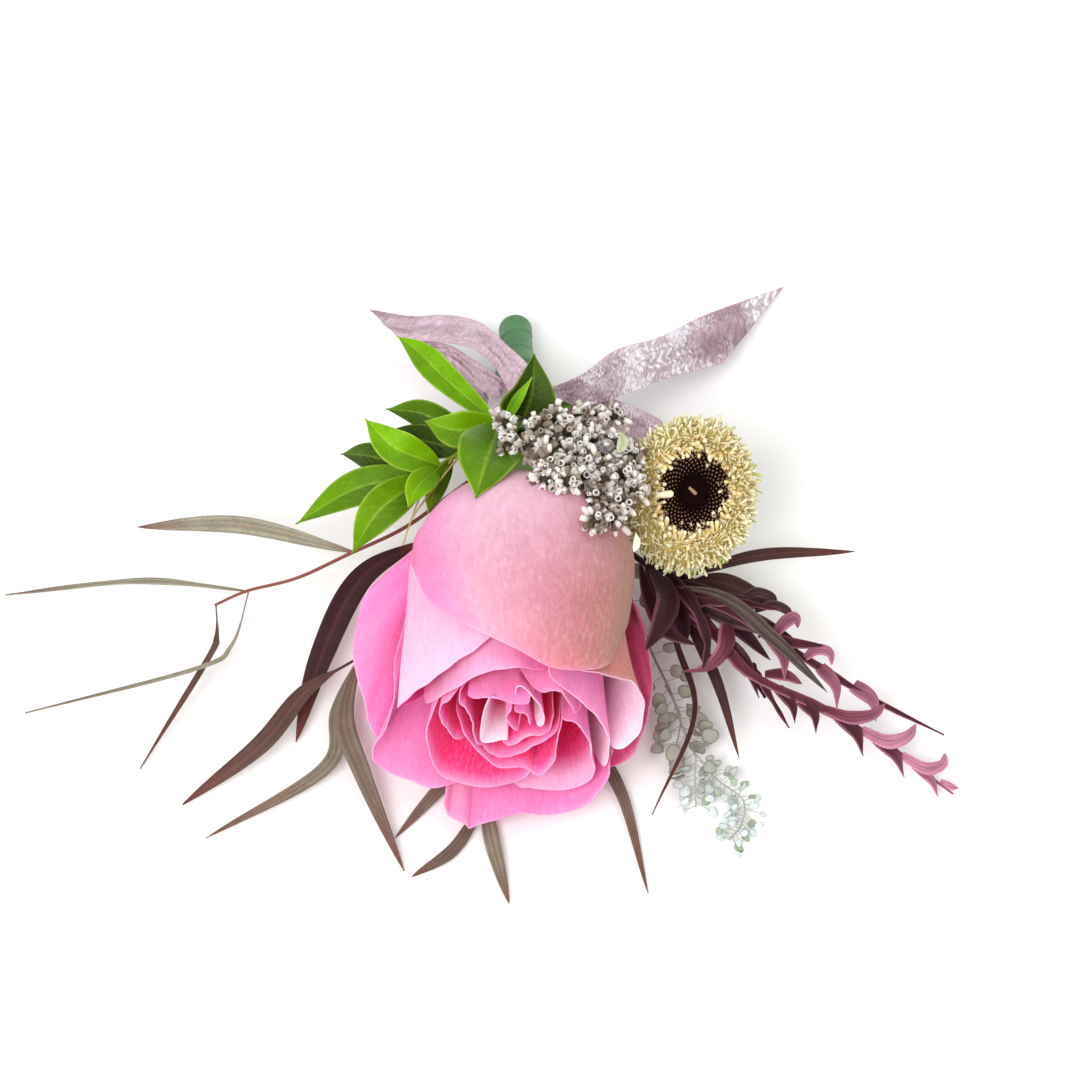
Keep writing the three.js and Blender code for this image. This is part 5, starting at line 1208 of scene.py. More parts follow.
# The disc: the (radius, height) of its body, and two loose florets that lie on it, each with its turn,
# foot, length and width
DISC_BODY = np.array([
    [0.001, 0.2], [3.0, 0.35], [5.2, 0.8], [6.5, 1.2], [6.55, 0.2], [6.3, -0.5], [0.001, -0.5]])
LOOSE_TURNS = np.array([2.85, 3.6])
LOOSE_FEET = np.array([[7.4, 2.1], [1.2, 1.2]])
LOOSE_LENGTHS = np.array([3.4, 1.9])
LOOSE_WIDTHS = np.array([1.7, 0.9])
FLAT_LEAN = np.array([-1.5, -1.5])


def closed_florets(skin, count, tint):
    """The disc's closed florets, spread by the golden angle over a shallow bowl. Each is a round spindle
    that swells by a power of a sine, leans outwards, and is taller and lighter at its tip towards the
    disc's rim."""
    k = np.arange(count)
    share = np.sqrt((k + 0.5) / count)
    turn = (k * GOLDEN)[:, None, None]
    radius = (GERBERA_DISC * 0.97 * share)[:, None, None]
    base = (0.35 + 1.1 * share**2 - 0.3)[:, None, None]
    height = np.interp(share, [0, 0.25, 0.5, 1], [0.35, 0.5, 0.9, 1.1])[:, None, None]
    wide = np.interp(share, [0, 0.3, 1], [0.16, 0.24, 0.3])[:, None, None]
    share = share[:, None, None]
    way = np.linspace(0, 1, 6)[None, :, None]
    ring = np.linspace(0, FULL_TURN, 9)[None, None, :]
    swell = np.sin(np.pi * np.clip(0.2 + 0.8 * way, 0, 1)) ** 0.7 * (way < 1)
    across = wide * swell * np.sin(ring)
    out = radius + 0.35 * share * way * height + wide * swell * np.cos(ring)
    around = np.arctan2(across, np.maximum(out, 0.05)) + turn
    body = in_gerbera(around, np.hypot(out, across), base + height * way)
    dot = np.clip((way - 0.78) * 8, 0, 1) * np.clip((share - 0.42) * 4, 0, 1)
    paint = blend(tint.disc_dark, tint.disc_tip, np.broadcast_to(dot * 0.85, body.shape[:3]))
    for floret, tone in zip(body, paint):
        skin.grid(floret, paint=tone)


class BOUTONNIERE_OT_gerbera_disc(bpy.types.Operator):
    """Builds the gerbera's dark disc of closed florets"""

    bl_idname = "boutonniere.gerbera_disc"
    bl_label = "Gerbera disc"

    def execute(self, context):
        tint = colours()
        skin = Skin()
        closed_florets(skin, sizes().disc_count, tint)
        around = np.linspace(0, FULL_TURN, 49)[None, :]
        skin.grid(in_gerbera(around, DISC_BODY[:, :1], DISC_BODY[:, 1:]), paint=np.array(tint.disc_dark))
        pale = np.array([tint.ray_cream, linear("#A98A66")])
        strap_florets(skin, LOOSE_TURNS, LOOSE_FEET, FLAT_LEAN, LOOSE_LENGTHS, LOOSE_WIDTHS, np.zeros(2),
                      np.zeros(2), pale, pale, 1.0, 8)
        material = floret_skin("gerbera_disc", 0.9, 0.08, 0.08)
        settle(skin.object("gerbera_disc_florets", [material]), "gerbera_disc", "gerbera_disc")
        return {"FINISHED"}


# Hip, cup and stalks. The two profiles are (radius, distance along the flower's axis).
HIP = [(0.001, -10), (1.5, -9.6), (3.4, -7), (4.2, -4), (3.6, -1.2), (4.2, -0.7), (0.001, -0.65)]
CUP = np.array([
    (0.001, -10.35), (3.7, -10.35), (3.9, -10.6), (3.4, -11.8), (1.8, -13.4), (0.8, -13.8), (0.001, -13.8)])
SEPALS = 5
FIRST_SEPAL = 54
BRACTS = 14


def rose_stalk(skin, green):
    """The rose's hip, a profile turned round its axis, its sepals, and its stalk through the handle."""
    around = np.linspace(0, FULL_TURN, 33)[None, :]
    profile = Path([(out, along, 0) for out, along in HIP]).at(np.linspace(0, 1, 30))
    hip = in_rose(around, np.maximum(profile[:, :1], 0.001), profile[:, 1:2] + 0 * around)
    skin.grid(hip, paint=green, slot=1)
    for turn in np.radians(FIRST_SEPAL + np.arange(SEPALS) * 360 / SEPALS):
        face = in_rose(turn, 0, 1) - ROSE_SEAT
        line = np.stack([in_rose(turn, 2.6, -1.6), in_rose(turn, 7, -2.2), in_rose(turn, 12, -4.5)])
        middle, u, v = leaf_surface(line, 3.6, "ovate", face=face, rows=16, columns=7)
        skin.blade(middle, 0.4, np.stack([v, u], -1), green * 0.9, green * 1.3)
    line = np.stack([
        in_rose(0, 0, -8.5), in_handle(handle_length + 1, -0.6, 0), in_handle(handle_length - 8, -0.6, 0),
        in_handle(HANDLE_TAPER, -0.3, 0), in_handle(HANDLE_TIP_RADIUS, 0, 0)])
    skin.tube(Path(line).at(np.linspace(0, 1, 60)), 1.5, 14, green, 1)


def gerbera_stalk(skin, green):
    """The gerbera's cup, a profile turned round its axis, its bracts, every second one shorter, and its
    stalk."""
    around = np.linspace(0, FULL_TURN, 33)[None, :]
    skin.grid(in_gerbera(around, CUP[:, :1], CUP[:, 1:]), paint=green, slot=1)
    for number in range(BRACTS):
        turn = number * FULL_TURN / BRACTS
        reach = 9.6 * (1 - 0.12 * (number % 2))
        line = np.stack([in_gerbera(turn, 2.4, -11.6), in_gerbera(turn, 6, -10.9),
                         in_gerbera(turn, reach, -9.2)])
        middle, u, v = leaf_surface(line, 2.2, "willow", face=gerbera_axis, rows=14, columns=5)
        skin.blade(middle, 0.35, np.stack([v, u], -1), green, green * 1.2)
    line = np.stack([
        in_gerbera(0, 0, -12.5), [23, 4, 12], [10, 11.5, 13], in_handle(handle_length + 2.5, 3.2, 0.3),
        in_handle(handle_length, 2.35, 0), in_handle(SLOT_START, 2.35, 0)])
    skin.tube(Path(line).at(np.linspace(0, 1, 60)), 1.05, 12, green, 1)


class BOUTONNIERE_OT_stalks(bpy.types.Operator):
    """Builds the hip, sepals and stalk of the rose, and the cup, bracts and stalk of the gerbera"""

    bl_idname = "boutonniere.stalks"
    bl_label = "Hip, cup and stalks"

    def execute(self, context):
        green = np.array(colours().stalk_green)
        materials = [leaf_skin("sepal", 0.45, 0.15), stalk_skin("stalk")]
        skin = Skin()
        rose_stalk(skin, green)
        settle(skin.object("rose_hip_and_stalk", materials), "hip_and_stalk", "rose_hip_and_stem")
        skin = Skin()
        gerbera_stalk(skin, green)
        settle(skin.object("gerbera_cup_and_stalk", materials), "hip_and_stalk", "gerbera_stem")
        return {"FINISHED"}


# Rice flower: the fork of its stem and the middle of each head, as places of the view
RICE = dict(slot=67, fork=(4, 22, 27), heads=[
    (-7.2, 23.6, 39), (-6.4, 18.8, 40.2), (-0.4, 22.6, 38.6), (0.8, 16.8, 40.6), (5.4, 21.8, 36),
    (6.2, 16.8, 38.6), (9.4, 25, 33), (14.8, 25, 33.4), (10.6, 20.4, 35.4), (16, 19.6, 37.8),
    (5.6, 11.8, 44.6), (11.8, 14.6, 39.6), (12.2, 9, 42), (16.8, 13.6, 38.8), (11.2, 3.6, 44.6),
    (16.6, 7.4, 40.8), (1, 12.2, 44.2), (3.4, 14.4, 43.2), (13, 11.8, 42), (14.6, 4.4, 42.8), (19, 10, 39),
    (18.6, 17, 37), (2.6, 24.6, 35), (-2.4, 18.4, 40), (8.6, 13, 40), (8.4, 17, 38),
])


# A bud's profile, open and closed: from its foot over the belly to the rim of its mouth and down inside, as
# the distance along it, its radius and how brown it is. Down inside the mouth the brown is painted shade.
BUD_ALONG = np.array([
    [0, 0.12, 0.6, 1.05, 1.45, 1.72, 1.66, 1.3, 1.15], [0, 0.12, 0.6, 1.1, 1.6, 1.95, 2.15, 2.25, 2.3]])
BUD_OUT = np.array([
    [0, 0.3, 0.56, 0.62, 0.58, 0.68, 0.52, 0.36, 0], [0, 0.26, 0.5, 0.56, 0.5, 0.38, 0.24, 0.1, 0]])
BUD_SHADE = np.array([
    [1, 0.9, 0.45, 0.2, 0.08, 0, 0.1, 0.95, 1.0], [1, 0.9, 0.5, 0.3, 0.2, 0.25, 0.3, 0.35, 0.4]])
# A small pale leaf and a folded floret among the heads: places of the view, width in mm and colour
RICE_BITS = (
    ([(15.6, 17.4, 41), (16.6, 19.6, 41.4), (16, 21.8, 40.6)], 2.2, "#A4AA7C"),
    ([(18.8, -2.4, 40), (19.4, -0.4, 41), (19.1, 1.6, 40.6)], 1.4, "#EDE4C8"),
)
# Heads that stand nearer to each other than this get another one between them, in millimetres
HEAD_REACH = 11.0


def bud_head(skin, draw, centre, count, tint):
    """One head: buds spread over a ball by the golden angle, each a profile turned round its aim, part open
    and part closed, round a small dark ball. About four in ten are brown all over."""
    ring = np.linspace(0, FULL_TURN, 8)
    level = 1 - 2 * (np.arange(count) + 0.5) / count
    turn = np.arange(count) * GOLDEN + draw.random() * 6
    flat = np.sqrt(1 - level**2)
    aim = np.stack([flat * np.cos(turn), flat * np.sin(turn), level], -1)
    aim = unit(aim + 0.3 * draw.standard_normal((count, 3)))
    side = unit(np.cross(aim, [0.3, 0.5, 0.8]))
    up = np.cross(aim, side)
    closed = (draw.random(count) > 0.66).astype(float)[:, None] * (0.6 + 0.4 * draw.random((count, 1)))
    scale = (0.62 + 0.46 * draw.random(count))[:, None, None, None]
    wide = (BUD_OUT[0] * (1 - closed) + BUD_OUT[1] * closed)[:, :, None, None] * scale
    tall = (BUD_ALONG[0] * (1 - closed) + BUD_ALONG[1] * closed)[:, :, None, None] * scale
    tall = tall * (0.85 + 0.3 * closed[..., None, None])
    start = (0.6 + 1.5 * draw.random(count))[:, None, None, None]
    body = (centre + aim[:, None, None] * (start + tall) + side[:, None, None] * wide * np.cos(ring)[:, None]
            + up[:, None, None] * wide * np.sin(ring)[:, None])
    tone = (BUD_SHADE[0] * (1 - closed) + BUD_SHADE[1] * closed) * (0.75 + 0.5 * draw.random((count, 1)))
    brown = (0.45 + 0.55 * draw.random((count, 1))) * (draw.random((count, 1)) > 0.56)
    tone = np.maximum(tone, brown)
    # painted shade: the buds turn brown down inside their mouths
    paint = blend(tint.rice_white, tint.rice_tan, tone)
    paint = blend(paint, tint.rice_stem, np.clip(tone * 2 - 1.3, 0, 0.8))
    for bud, bud_paint in zip(body, paint):
        skin.grid(bud, paint=bud_paint[:, None])
    ball = np.linspace(0, np.pi, 9)[:, None]
    globe = np.stack([np.sin(ball) * np.cos(ring), np.sin(ball) * np.sin(ring), np.cos(ball) + 0 * ring], -1)
    skin.grid(centre + 1.05 * globe, paint=np.array(tint.rice_stem), slot=1)


class BOUTONNIERE_OT_rice_flower(bpy.types.Operator):
    """Builds the rice flower: heads of small papery buds with open mouths on brown stems"""

    bl_idname = "boutonniere.rice_flower"
    bl_label = "Rice flower"

    def execute(self, context):
        tint = colours()
        brown = np.array(tint.rice_stem)
        draw = np.random.default_rng(31)
        skin = Skin()
        fork = seen([RICE["fork"]])[0]
        stem = Path(np.vstack([from_slot(RICE["slot"]), fork]))
        skin.tube(stem.at(np.linspace(0, 1, 30)), 0.5, 8, brown, 1)
        heads = seen(RICE["heads"]) - TO_EYE
        order = draw.permutation(len(heads))
        between = (heads + heads[order]) / 2 + draw.normal(0, 0.8, (len(heads), 3)) - [0, 0, 0.8]
        near = np.linalg.norm(heads - heads[order], axis=1) < HEAD_REACH
        for k, centre in enumerate(np.vstack([heads, between[near]])):
            foot = fork - VIEW_UP * 0.12 * k
            stalk = Path([foot, (foot + centre) / 2 + [0, 1.2, 1], centre])
            skin.tube(stalk.at(np.linspace(0, 1, 14)), 0.28, 6, brown, 1)
            whole = sizes().bud_count
            bud_head(skin, draw, centre, whole if k < len(heads) else whole - 8, tint)
        for line, wide, tone in RICE_BITS:
            middle, u, v = leaf_surface(seen(line), wide, "ovate", fold=0.2, rows=14, columns=7)
            pale = blend(linear(tone), linear("#FFFFF9"), 0.3 * np.abs(v))
            skin.blade(middle, 0.3, np.stack([v, u], -1), pale)
        materials = [floret_skin("rice_flower_bud", 0.55, 0.05), stalk_skin("rice_flower_stem", 0.6)]
        settle(skin.object("rice_flower_heads", materials), "rice_bud", "rice_flower")
        return {"FINISHED"}


class BOUTONNIERE_OT_handle(bpy.types.Operator):
    """Builds the handle: stems bound in floral tape"""

    bl_idname = "boutonniere.handle"
    bl_label = "Taped handle"

    def execute(self, context):
        skin = Skin()
        outer, along, turn = handle_grid(220, 64)
        bore = np.array([(handle_length, HANDLE_BORE), (16, HANDLE_BORE), (11, HANDLE_TIP_BORE),
                         (4, HANDLE_TIP_BORE), (3.4, 0.001)])
        inner = in_handle(bore[:, :1] + 0 * turn, bore[:, 1:] * np.cos(turn), bore[:, 1:] * np.sin(turn))
        uv = np.stack(np.broadcast_arrays(turn / FULL_TURN, along[:, None] / TAPE_MAP[1]), -1)
        uv = np.concatenate([uv, uv[-len(bore):]], 0)
        skin.grid(np.concatenate([outer, inner], 0), uv, np.array(colours().tape_green))
        settle(skin.object("floral_tape_handle", [crepe_tape()]), "floral_tape", "tape_wrap")
        return {"FINISHED"}


# Ribbon: each strip lies between a far and a near edge, given as places of the view.
RIBBONS = {
    "ribbon_tail_right": dict(
        far=[(1.15, 30.1, 18.4), (8.1, 33, 18.6), (15.2, 38, 17), (24, 40.6, 13.5), (33, 45, 8),
             (48.8, 50.7, 1)],
        near=[(1.15, 26.8, 18.4), (9, 26.8, 18), (17, 29, 15.6), (25, 32.2, 12.4), (31, 33.8, 9),
              (36.6, 35.4, 6)]),
    "ribbon_tail_left": dict(
        far=[(-0.6, 31.6, 20), (-2.9, 35.6, 19.4), (-6.4, 38.8, 17.6), (-11.8, 43.4, 13), (-18.6, 45, 10),
             (-26, 44.8, 8), (-34.2, 46.2, 5.5)],
        near=[(-5.6, 28.4, 20), (-7.5, 32, 20), (-9.8, 35.4, 19), (-14, 38.4, 17), (-20, 39.6, 14.5),
              (-25, 39.9, 12), (-28.8, 40.8, 10)]),
    "ribbon_loop_left": dict(
        far=[(-7.8, 32.4, 17.4), (-12, 35.2, 15), (-18, 38.9, 12), (-24, 40, 8.4), (-25.6, 39.9, 6),
             (-22, 39.2, 4.8), (-16, 36.6, 5.8), (-10.4, 30.4, 9.4)],
        near=[(-8, 28.7, 17), (-12, 30, 15), (-16.4, 34.4, 13), (-22, 37.6, 12), (-23.6, 37.4, 9.6),
              (-20.4, 36, 7.2), (-15, 31.4, 7), (-10.4, 25.6, 10)]),
    "ribbon_loop_right": dict(
        far=[(1.7, 29.6, 16.6), (10, 29.4, 14.6), (18, 27, 12.4), (24.4, 23.6, 10.4), (20, 23, 7),
             (11, 24.6, 7), (2.2, 27, 10.6)],
        near=[(1.7, 26, 17), (9, 24.4, 16), (16, 20.8, 15), (24.6, 17.6, 13), (19.4, 15.6, 9.4),
              (10, 18, 9.4), (2.2, 22, 11.4)]),
}


def ribbon_surface(far, near, rows=240, columns=37):
    """A strip between two edges. Its creases are sums of sines along and across, of which the lengthwise
    ones fade away from the knot, and a few sharp ridges and troughs; they are none at the edges. Returns
    it, the distance along the cloth, the way across, and its area and length without the creases."""
    u = np.linspace(0, 1, rows)[:, None]
    v = np.linspace(0, 1, columns)[None, :]
    low, high = Path(seen(near)).at(u[:, 0]), Path(seen(far)).at(u[:, 0])
    middle = low[:, None] * (1 - v[..., None]) + high[:, None] * v[..., None]
    normal = unit(np.cross(np.gradient(middle, axis=0), np.gradient(middle, axis=1)))
    along = np.cumsum(np.linalg.norm(np.diff(middle, axis=0, prepend=middle[:1]), axis=2), 0)
    w = along / along.max()
    crease = (0.4 * np.sin(v * 17 + w * 3) * np.exp(-2.5 * w) + 0.25 * np.sin(v * 8 + w * 13)
              + 0.2 * np.sin(w * 49 + 5 * np.sin(v * 5 + w * 9))
              + 0.17 * np.sin(w * 83 - v * 9 + 3 * np.sin(w * 21))
              + 0.1 * np.sin(w * 131 + v * 14)
              + 0.5 * (1 - np.abs(np.sin(w * 23 + 3 * np.sin(v * 4 + w * 5)))) ** 5
              - 0.4 * (1 - np.abs(np.sin(w * 31 - 2.4 * np.sin(v * 5 - w * 7)))) ** 6)
    middle = middle + normal * (crease * np.sin(np.pi * v) ** 0.6)[..., None]
    lengths = np.linalg.norm(np.diff((low + high) / 2, axis=0), axis=1)
    widths = np.linalg.norm(high - low, axis=1)
    area = float((lengths * (widths[1:] + widths[:-1]) / 2).sum())
    return middle, along, np.broadcast_to(v, along.shape), area, float(lengths.sum())


def organza_tones(name, u, v, tint):
    """The organza's tones, by the way u along and v across, mixed towards its shade colour as painted shade,
    most on the right pieces. The right tail is crumpled: a product of three sines darkens its troughs with
    painted shade, and whitens its crests with painted glints in two places. The left loop is lightened with
    painted light."""
    # painted shade: the right pieces, the far end of the left tail and waves across the cloth
    dark = 0.56 if name.endswith("right") else 0.95 * u - 0.25 if name == "ribbon_tail_left" else -0.1
    tone = blend(tint.ribbon_mauve, tint.ribbon_shade, dark + 0.25 * np.sin(v * 9 + u * 7))
    if name == "ribbon_tail_right":
        crumple = np.sin(u * 190 + 2.5 * np.sin(v * 17)) * np.sin(v * 14 + 3 * np.sin(u * 37))
        crumple = crumple * np.sin(u * 83 - 9 * v)
        glinting = np.clip(2 - np.abs(u - 0.4) / 0.11, 0, 1)
        glinting = glinting + 1.5 * np.clip(2 - np.abs(u - 0.89) / 0.05, 0, 1)
        # painted shade in the troughs of the crumple, and painted glints on its crests
        tone = blend(tone, tint.ribbon_crease_shade, 0.3 + 0.35 * np.clip(-crumple * 2, 0, 1))
        tone = blend(tone, linear("#FFFFFF"), (0.2 + np.clip(crumple * 2.6, 0, 0.65)) * glinting)
    # painted light: the left loop faces away from the lamps and is lightened
    if name == "ribbon_loop_left":
        tone = blend(tone, linear("#FFDFEF"), 0.45)
    return blend(tone, tint.ribbon_edge, np.clip((np.abs(v - 0.5) - 0.47) / 0.02, 0, 1) * 0.8)


def wrap_round_tape(skin, tint):
    """The ribbon's turn round the handle: a closed band with a bulging, pleated outside and a plain
    lining."""
    turn = np.linspace(0, FULL_TURN, 73)[None, :]
    way = np.linspace(-1, 1, 15)[:, None]
    place = handle_length * KNOT_SHARE + WRAP_HALF * way + 0 * turn
    radius = WRAP_RADIUS - 0.35 * way**2 + 0.1 * np.sin(way * 9 + turn * 2)
    wrap = in_handle(place, radius * np.cos(turn), radius * np.sin(turn))
    lining = in_handle(place[::-1], WRAP_LINING * np.cos(turn) + 0 * way,
                       WRAP_LINING * np.sin(turn) + 0 * way)
    skin.grid(np.concatenate([wrap, lining, wrap[:1]], 0), paint=np.array(tint.ribbon_mauve))


def knot(skin, tint):
    """The knot on top of the wrap: a flattened ball that three skewed waves swell."""
    turn = np.linspace(0, FULL_TURN, 73)[None, :]
    ball = np.linspace(0.02, np.pi - 0.02, 25)[:, None]
    swell = 1 + 0.1 * np.sin(3 * turn + 4 * ball) * np.sin(ball)
    long, wide, tall = KNOT_SIZE
    globe = in_handle(handle_length * KNOT_SHARE + long * np.cos(ball) * swell,
                      KNOT_RIGHT + wide * np.sin(ball) * np.cos(turn) * swell,
                      HANDLE_RADIUS + KNOT_HEIGHT + tall * np.sin(ball) * np.sin(turn) * swell)
    skin.grid(globe, paint=blend(tint.ribbon_mauve, tint.ribbon_shade, 0.4))


class BOUTONNIERE_OT_ribbon(bpy.types.Operator):
    """Builds the organza ribbon: two tails, two loops, and the wrap with its knot"""

    bl_idname = "boutonniere.ribbon"
    bl_label = "Organza ribbon"

    def execute(self, context):
        tint = colours()
        cloth, calm = organza("organza_crushed", 1.0), organza("organza_smooth", 0.3)
        width = in_mm(sizes().ribbon_width)
        for name, edges in RIBBONS.items():
            skin = Skin()
            middle, along, v, area, length = ribbon_surface(**edges)
            tone = organza_tones(name, along / along.max(), v, tint)
            uv = np.stack([v * width / RIBBON_MAP[0], along / RIBBON_MAP[1]], -1)
            skin.blade(middle, in_mm(sizes().ribbon_thickness), uv, tone)
            material = calm if name.endswith("left") else cloth
            piece = settle(skin.object(name + "_organza", [material]), "organza", name)
        skin = Skin()
        wrap_round_tape(skin, tint)
        knot(skin, tint)
        settle(skin.object("organza_knot", [cloth]), "organza", "ribbon_knot")
        return {"FINISHED"}


# Stage, in metres and watts: the table's half width, and each lamp's name, place, size and power
TABLE_HALF = 3.0
SKY_STRENGTH = 0.76
LAMPS = (
    ("key", (-0.28, -0.42, 0.66), 0.5, 4.3),
    ("fill", (0.4, 0.2, 0.7), 0.8, 1.45),
)


def lay_table(scene):
    """A large sheet of matt white paper under the piece."""
    mesh = bpy.data.meshes.new("floor")
    half = TABLE_HALF
    mesh.from_pydata([(-half, -half, 0), (half, -half, 0), (half, half, 0), (-half, half, 0)], [],
                     [(0, 1, 2, 3)])
    floor = bpy.data.objects.new("floor", mesh)
    scene.collection.objects.link(floor)
    paper = bpy.data.materials.new("floor_paper")
    paper.use_nodes = True
    surface = paper.node_tree.nodes["Principled BSDF"]
    surface.inputs["Base Color"].default_value = (*linear("#FAFAFA"), 1)
    surface.inputs["Roughness"].default_value = 0.9
    mesh.materials.append(paper)


def light_table(scene):
    """A bright, even studio, with a round key lamp on the left in front and a weaker one on the right
    behind."""
    world = bpy.data.worlds.new("studio")
    world.use_nodes = True
    sky = world.node_tree.nodes["Background"]
    sky.inputs["Color"].default_value = (*linear("#FFFEFC"), 1)
    sky.inputs["Strength"].default_value = SKY_STRENGTH
    scene.world = world
    for name, place, size, power in LAMPS:
        lamp = bpy.data.lights.new(name, "AREA")
        lamp.shape = "DISK"
        lamp.size = size
        lamp.energy = power
        made = bpy.data.objects.new(name, lamp)
        made.location = place
        made.rotation_euler = (-Vector(place)).to_track_quat("-Z", "Y").to_euler()
        scene.collection.objects.link(made)


def set_camera(scene):
    """The camera at the eye of the view, as wide as the view's plane."""
    lens = bpy.data.cameras.new("camera")
    lens.sensor_width = SENSOR
    lens.lens = SENSOR * EYE_DISTANCE / VIEW_WIDTH
    lens.clip_start = 0.01
    camera = bpy.data.objects.new("camera", lens)
    camera.location = EYE * MM + SHIFT
    camera.rotation_euler = (np.pi / 2 - EYE_ELEVATION, 0, 0)
    scene.collection.objects.link(camera)
    scene.camera = camera


class BOUTONNIERE_OT_stage(bpy.types.Operator):
    """Sets the pale floor, the soft lights and the camera"""

    bl_idname = "boutonniere.stage"
    bl_label = "Stage"

    def execute(self, context):
        scene = bpy.context.scene
        scene.view_settings.view_transform = "Standard"
        lay_table(scene)
        light_table(scene)
        set_camera(scene)
        return {"FINISHED"}


# Settings
def length_field(name, text, millimetres, least, most):
    """A length that a user may change, given in millimetres and kept in metres."""
    return bpy.props.FloatProperty(name=name, description=text, default=millimetres * MM, min=least * MM,
                                   max=most * MM, precision=5, unit="LENGTH")


def count_field(name, text, value, least, most):
    """A count that a user may change."""
    return bpy.props.IntProperty(name=name, description=text, default=value, min=least, max=most)


def colour_field(name, text, words):
    """A colour that a user may change, given as an sRGB hex value."""
    return bpy.props.FloatVectorProperty(name=name, description=words, subtype="COLOR", size=3, min=0, max=1,
                                         default=[float(x) for x in linear(text)])


class BoutonniereSizes(bpy.types.PropertyGroup):
    """The sizes that a user would change"""

    petal_thickness: length_field("Petal thickness", "The rose's outer petals", 0.3, 0.1, 1)
    inner_petal_thickness: length_field("Inner petal thickness", "The rose's inner petals", 0.22, 0.1, 1)
    leaf_thickness: length_field("Leaf thickness", "The ovate leaves", 0.4, 0.1, 1)
    narrow_leaf_thickness: length_field("Narrow leaf thickness", "The narrow dark leaves", 0.35, 0.1, 1)
    cut_leaf_thickness: length_field("Cut leaf thickness", "The dark red cut leaves", 0.36, 0.1, 1)
    round_leaf_thickness: length_field("Round leaf thickness", "The creeper's leaves", 0.28, 0.1, 1)
    ray_length: length_field("Ray length", "The gerbera's longest rays", 2.6, 1.5, 6)
    ray_count: count_field("Rays", "Fine rays of the gerbera", 2100, 200, 3000)
    plump_count: count_field("Plump florets", "Florets round the gerbera's disc", 84, 10, 150)
    disc_count: count_field("Disc florets", "Closed florets of the gerbera's disc", 330, 50, 600)
    bud_count: count_field("Buds", "Buds in a head of rice flower", 34, 12, 50)
    ribbon_width: length_field("Ribbon width", "The ribbon off the roll", 12, 6, 25)
    ribbon_thickness: length_field("Ribbon thickness", "The organza", 0.14, 0.05, 0.5)


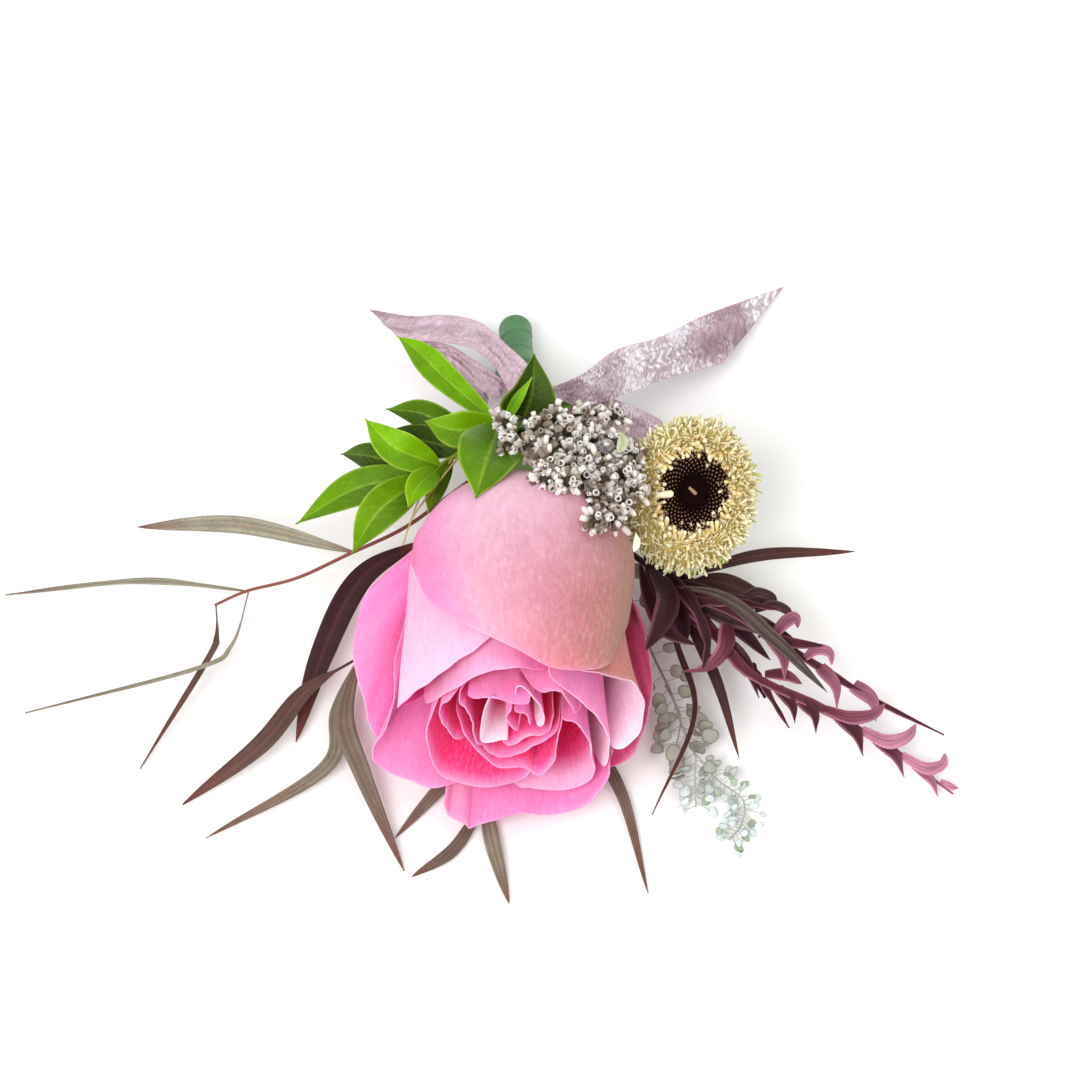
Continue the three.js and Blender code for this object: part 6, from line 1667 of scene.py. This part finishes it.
class BoutonniereColours(bpy.types.PropertyGroup):
    """The colours that a user would change"""

    petal_pink: colour_field("Petal pink", "#FF70B2", "The rose's petals near their rims")
    # painted shade: the deep pink where the petals close in on one another and in the heart
    petal_deep_shade: colour_field("Petal deep pink", "#FC1668", "The rose's petals deep between one another")
    petal_pale: colour_field("Petal pale lilac", "#FFB5E0", "The rose's folded rims and its left petal")
    petal_tan: colour_field("Petal tan", "#A87460", "The weathered side of the rose's closed petal")
    # painted shade: the rearmost petal, on its shaded side
    petal_shade: colour_field("Petal dusk", "#C04A66", "The rose's rearmost petal, on its shaded side")
    leaf_green: colour_field("Leaf green", "#78B300", "The upper side of the ovate leaves")
    leaf_dark: colour_field("Leaf dark green", "#2E4400", "The ovate leaves near their base")
    leaf_margin: colour_field("Leaf margin", "#BCDD52", "The margin and midrib of the ovate leaves")
    willow_dark: colour_field("Willow dark", "#3C2528", "The narrow leaves, darkest")
    willow_brown: colour_field("Willow brown", "#5E4038", "The narrow leaves, lighter")
    willow_olive: colour_field("Willow olive", "#A09F8A", "The underside of the narrow leaves")
    willow_stem: colour_field("Willow stem", "#8A4A3E", "The narrow leaves' stem and midrib")
    grevillea_dark: colour_field("Grevillea dark", "#36161E", "The cut leaves along their midrib")
    grevillea_red: colour_field("Grevillea red", "#6B2A3A", "The cut leaves' lobes")
    grevillea_pink: colour_field("Grevillea pink", "#D690AC", "The tips of the cut leaves' lobes")
    creeper_leaf: colour_field("Creeper leaf", "#A3A095", "The round leaves")
    creeper_pale: colour_field("Creeper pale leaf", "#E6F6F8", "The round leaves near the tips")
    creeper_stem: colour_field("Creeper stem", "#9C968A", "The creeper's stems")
    ray_cream: colour_field("Ray cream", "#FBF4CE", "The gerbera's outer rays")
    ray_gold: colour_field("Ray gold", "#F0BF66", "The gerbera's rays beside the disc")
    ray_root: colour_field("Ray root", "#D2BC6C", "The gerbera's rays at their feet")
    ray_green: colour_field("Ray green", "#9CCB3B", "The gerbera's outermost bits")
    disc_dark: colour_field("Disc dark", "#160504", "The gerbera's closed florets")
    disc_tip: colour_field("Disc tip", "#C49474", "The tips of the closed florets")
    rice_white: colour_field("Rice flower white", "#FBF8F4", "The buds' scales")
    rice_tan: colour_field("Rice flower tan", "#937A62", "The buds' feet and mouths")
    rice_stem: colour_field("Rice flower stem", "#382D1E", "The rice flower's stems")
    stalk_green: colour_field("Stalk green", "#6F8F3A", "The hip, the cup and the stalks")
    tape_green: colour_field("Tape green", "#487A4C", "The floral tape")
    ribbon_mauve: colour_field("Ribbon mauve", "#E2C0D1", "The organza")
    # painted shade: the organza in its deepest creases
    ribbon_crease_shade: colour_field("Ribbon dusk", "#7D5C64", "The organza in its deepest creases")
    ribbon_shade: colour_field("Ribbon shade", "#9C7A86", "The organza where it is creased")
    ribbon_edge: colour_field("Ribbon edge", "#E5A9C4", "The organza's woven edge")
    # painted glints: the white mixed into the organza's colour as specks
    sparkle: colour_field("Ribbon sparkle", "#F6F0FA", "The threads that catch the light")


OPERATORS = (
    BOUTONNIERE_OT_handle, BOUTONNIERE_OT_rose, BOUTONNIERE_OT_stalks, BOUTONNIERE_OT_gerbera_rays,
    BOUTONNIERE_OT_gerbera_disc, BOUTONNIERE_OT_rice_flower, BOUTONNIERE_OT_green_leaves,
    BOUTONNIERE_OT_willow_leaves, BOUTONNIERE_OT_grevillea, BOUTONNIERE_OT_creeper, BOUTONNIERE_OT_ribbon,
    BOUTONNIERE_OT_stage,
)


class BOUTONNIERE_PT_panel(bpy.types.Panel):
    """Lists the pieces, sizes and colours"""

    bl_label = "Boutonniere"
    bl_space_type = "VIEW_3D"
    bl_region_type = "UI"
    bl_category = "Boutonniere"

    def draw(self, context):
        for operator in OPERATORS:
            self.layout.operator(operator.bl_idname)
        for kind, group in ((BoutonniereSizes, sizes()), (BoutonniereColours, colours())):
            for name in kind.__annotations__:
                self.layout.prop(group, name)


CLASSES = (BoutonniereSizes, BoutonniereColours, *OPERATORS, BOUTONNIERE_PT_panel)


def register():
    for kind in CLASSES:
        bpy.utils.register_class(kind)
    bpy.types.Scene.boutonniere_sizes = bpy.props.PointerProperty(type=BoutonniereSizes)
    bpy.types.Scene.boutonniere_colours = bpy.props.PointerProperty(type=BoutonniereColours)


def unregister():
    del bpy.types.Scene.boutonniere_colours
    del bpy.types.Scene.boutonniere_sizes
    for kind in reversed(CLASSES):
        bpy.utils.unregister_class(kind)


def main():
    """Registers the classes and builds every piece in order."""
    register()
    for operator in OPERATORS:
        group, name = operator.bl_idname.split(".")
        getattr(getattr(bpy.ops, group), name)()


if __name__ == "__main__":
    main()
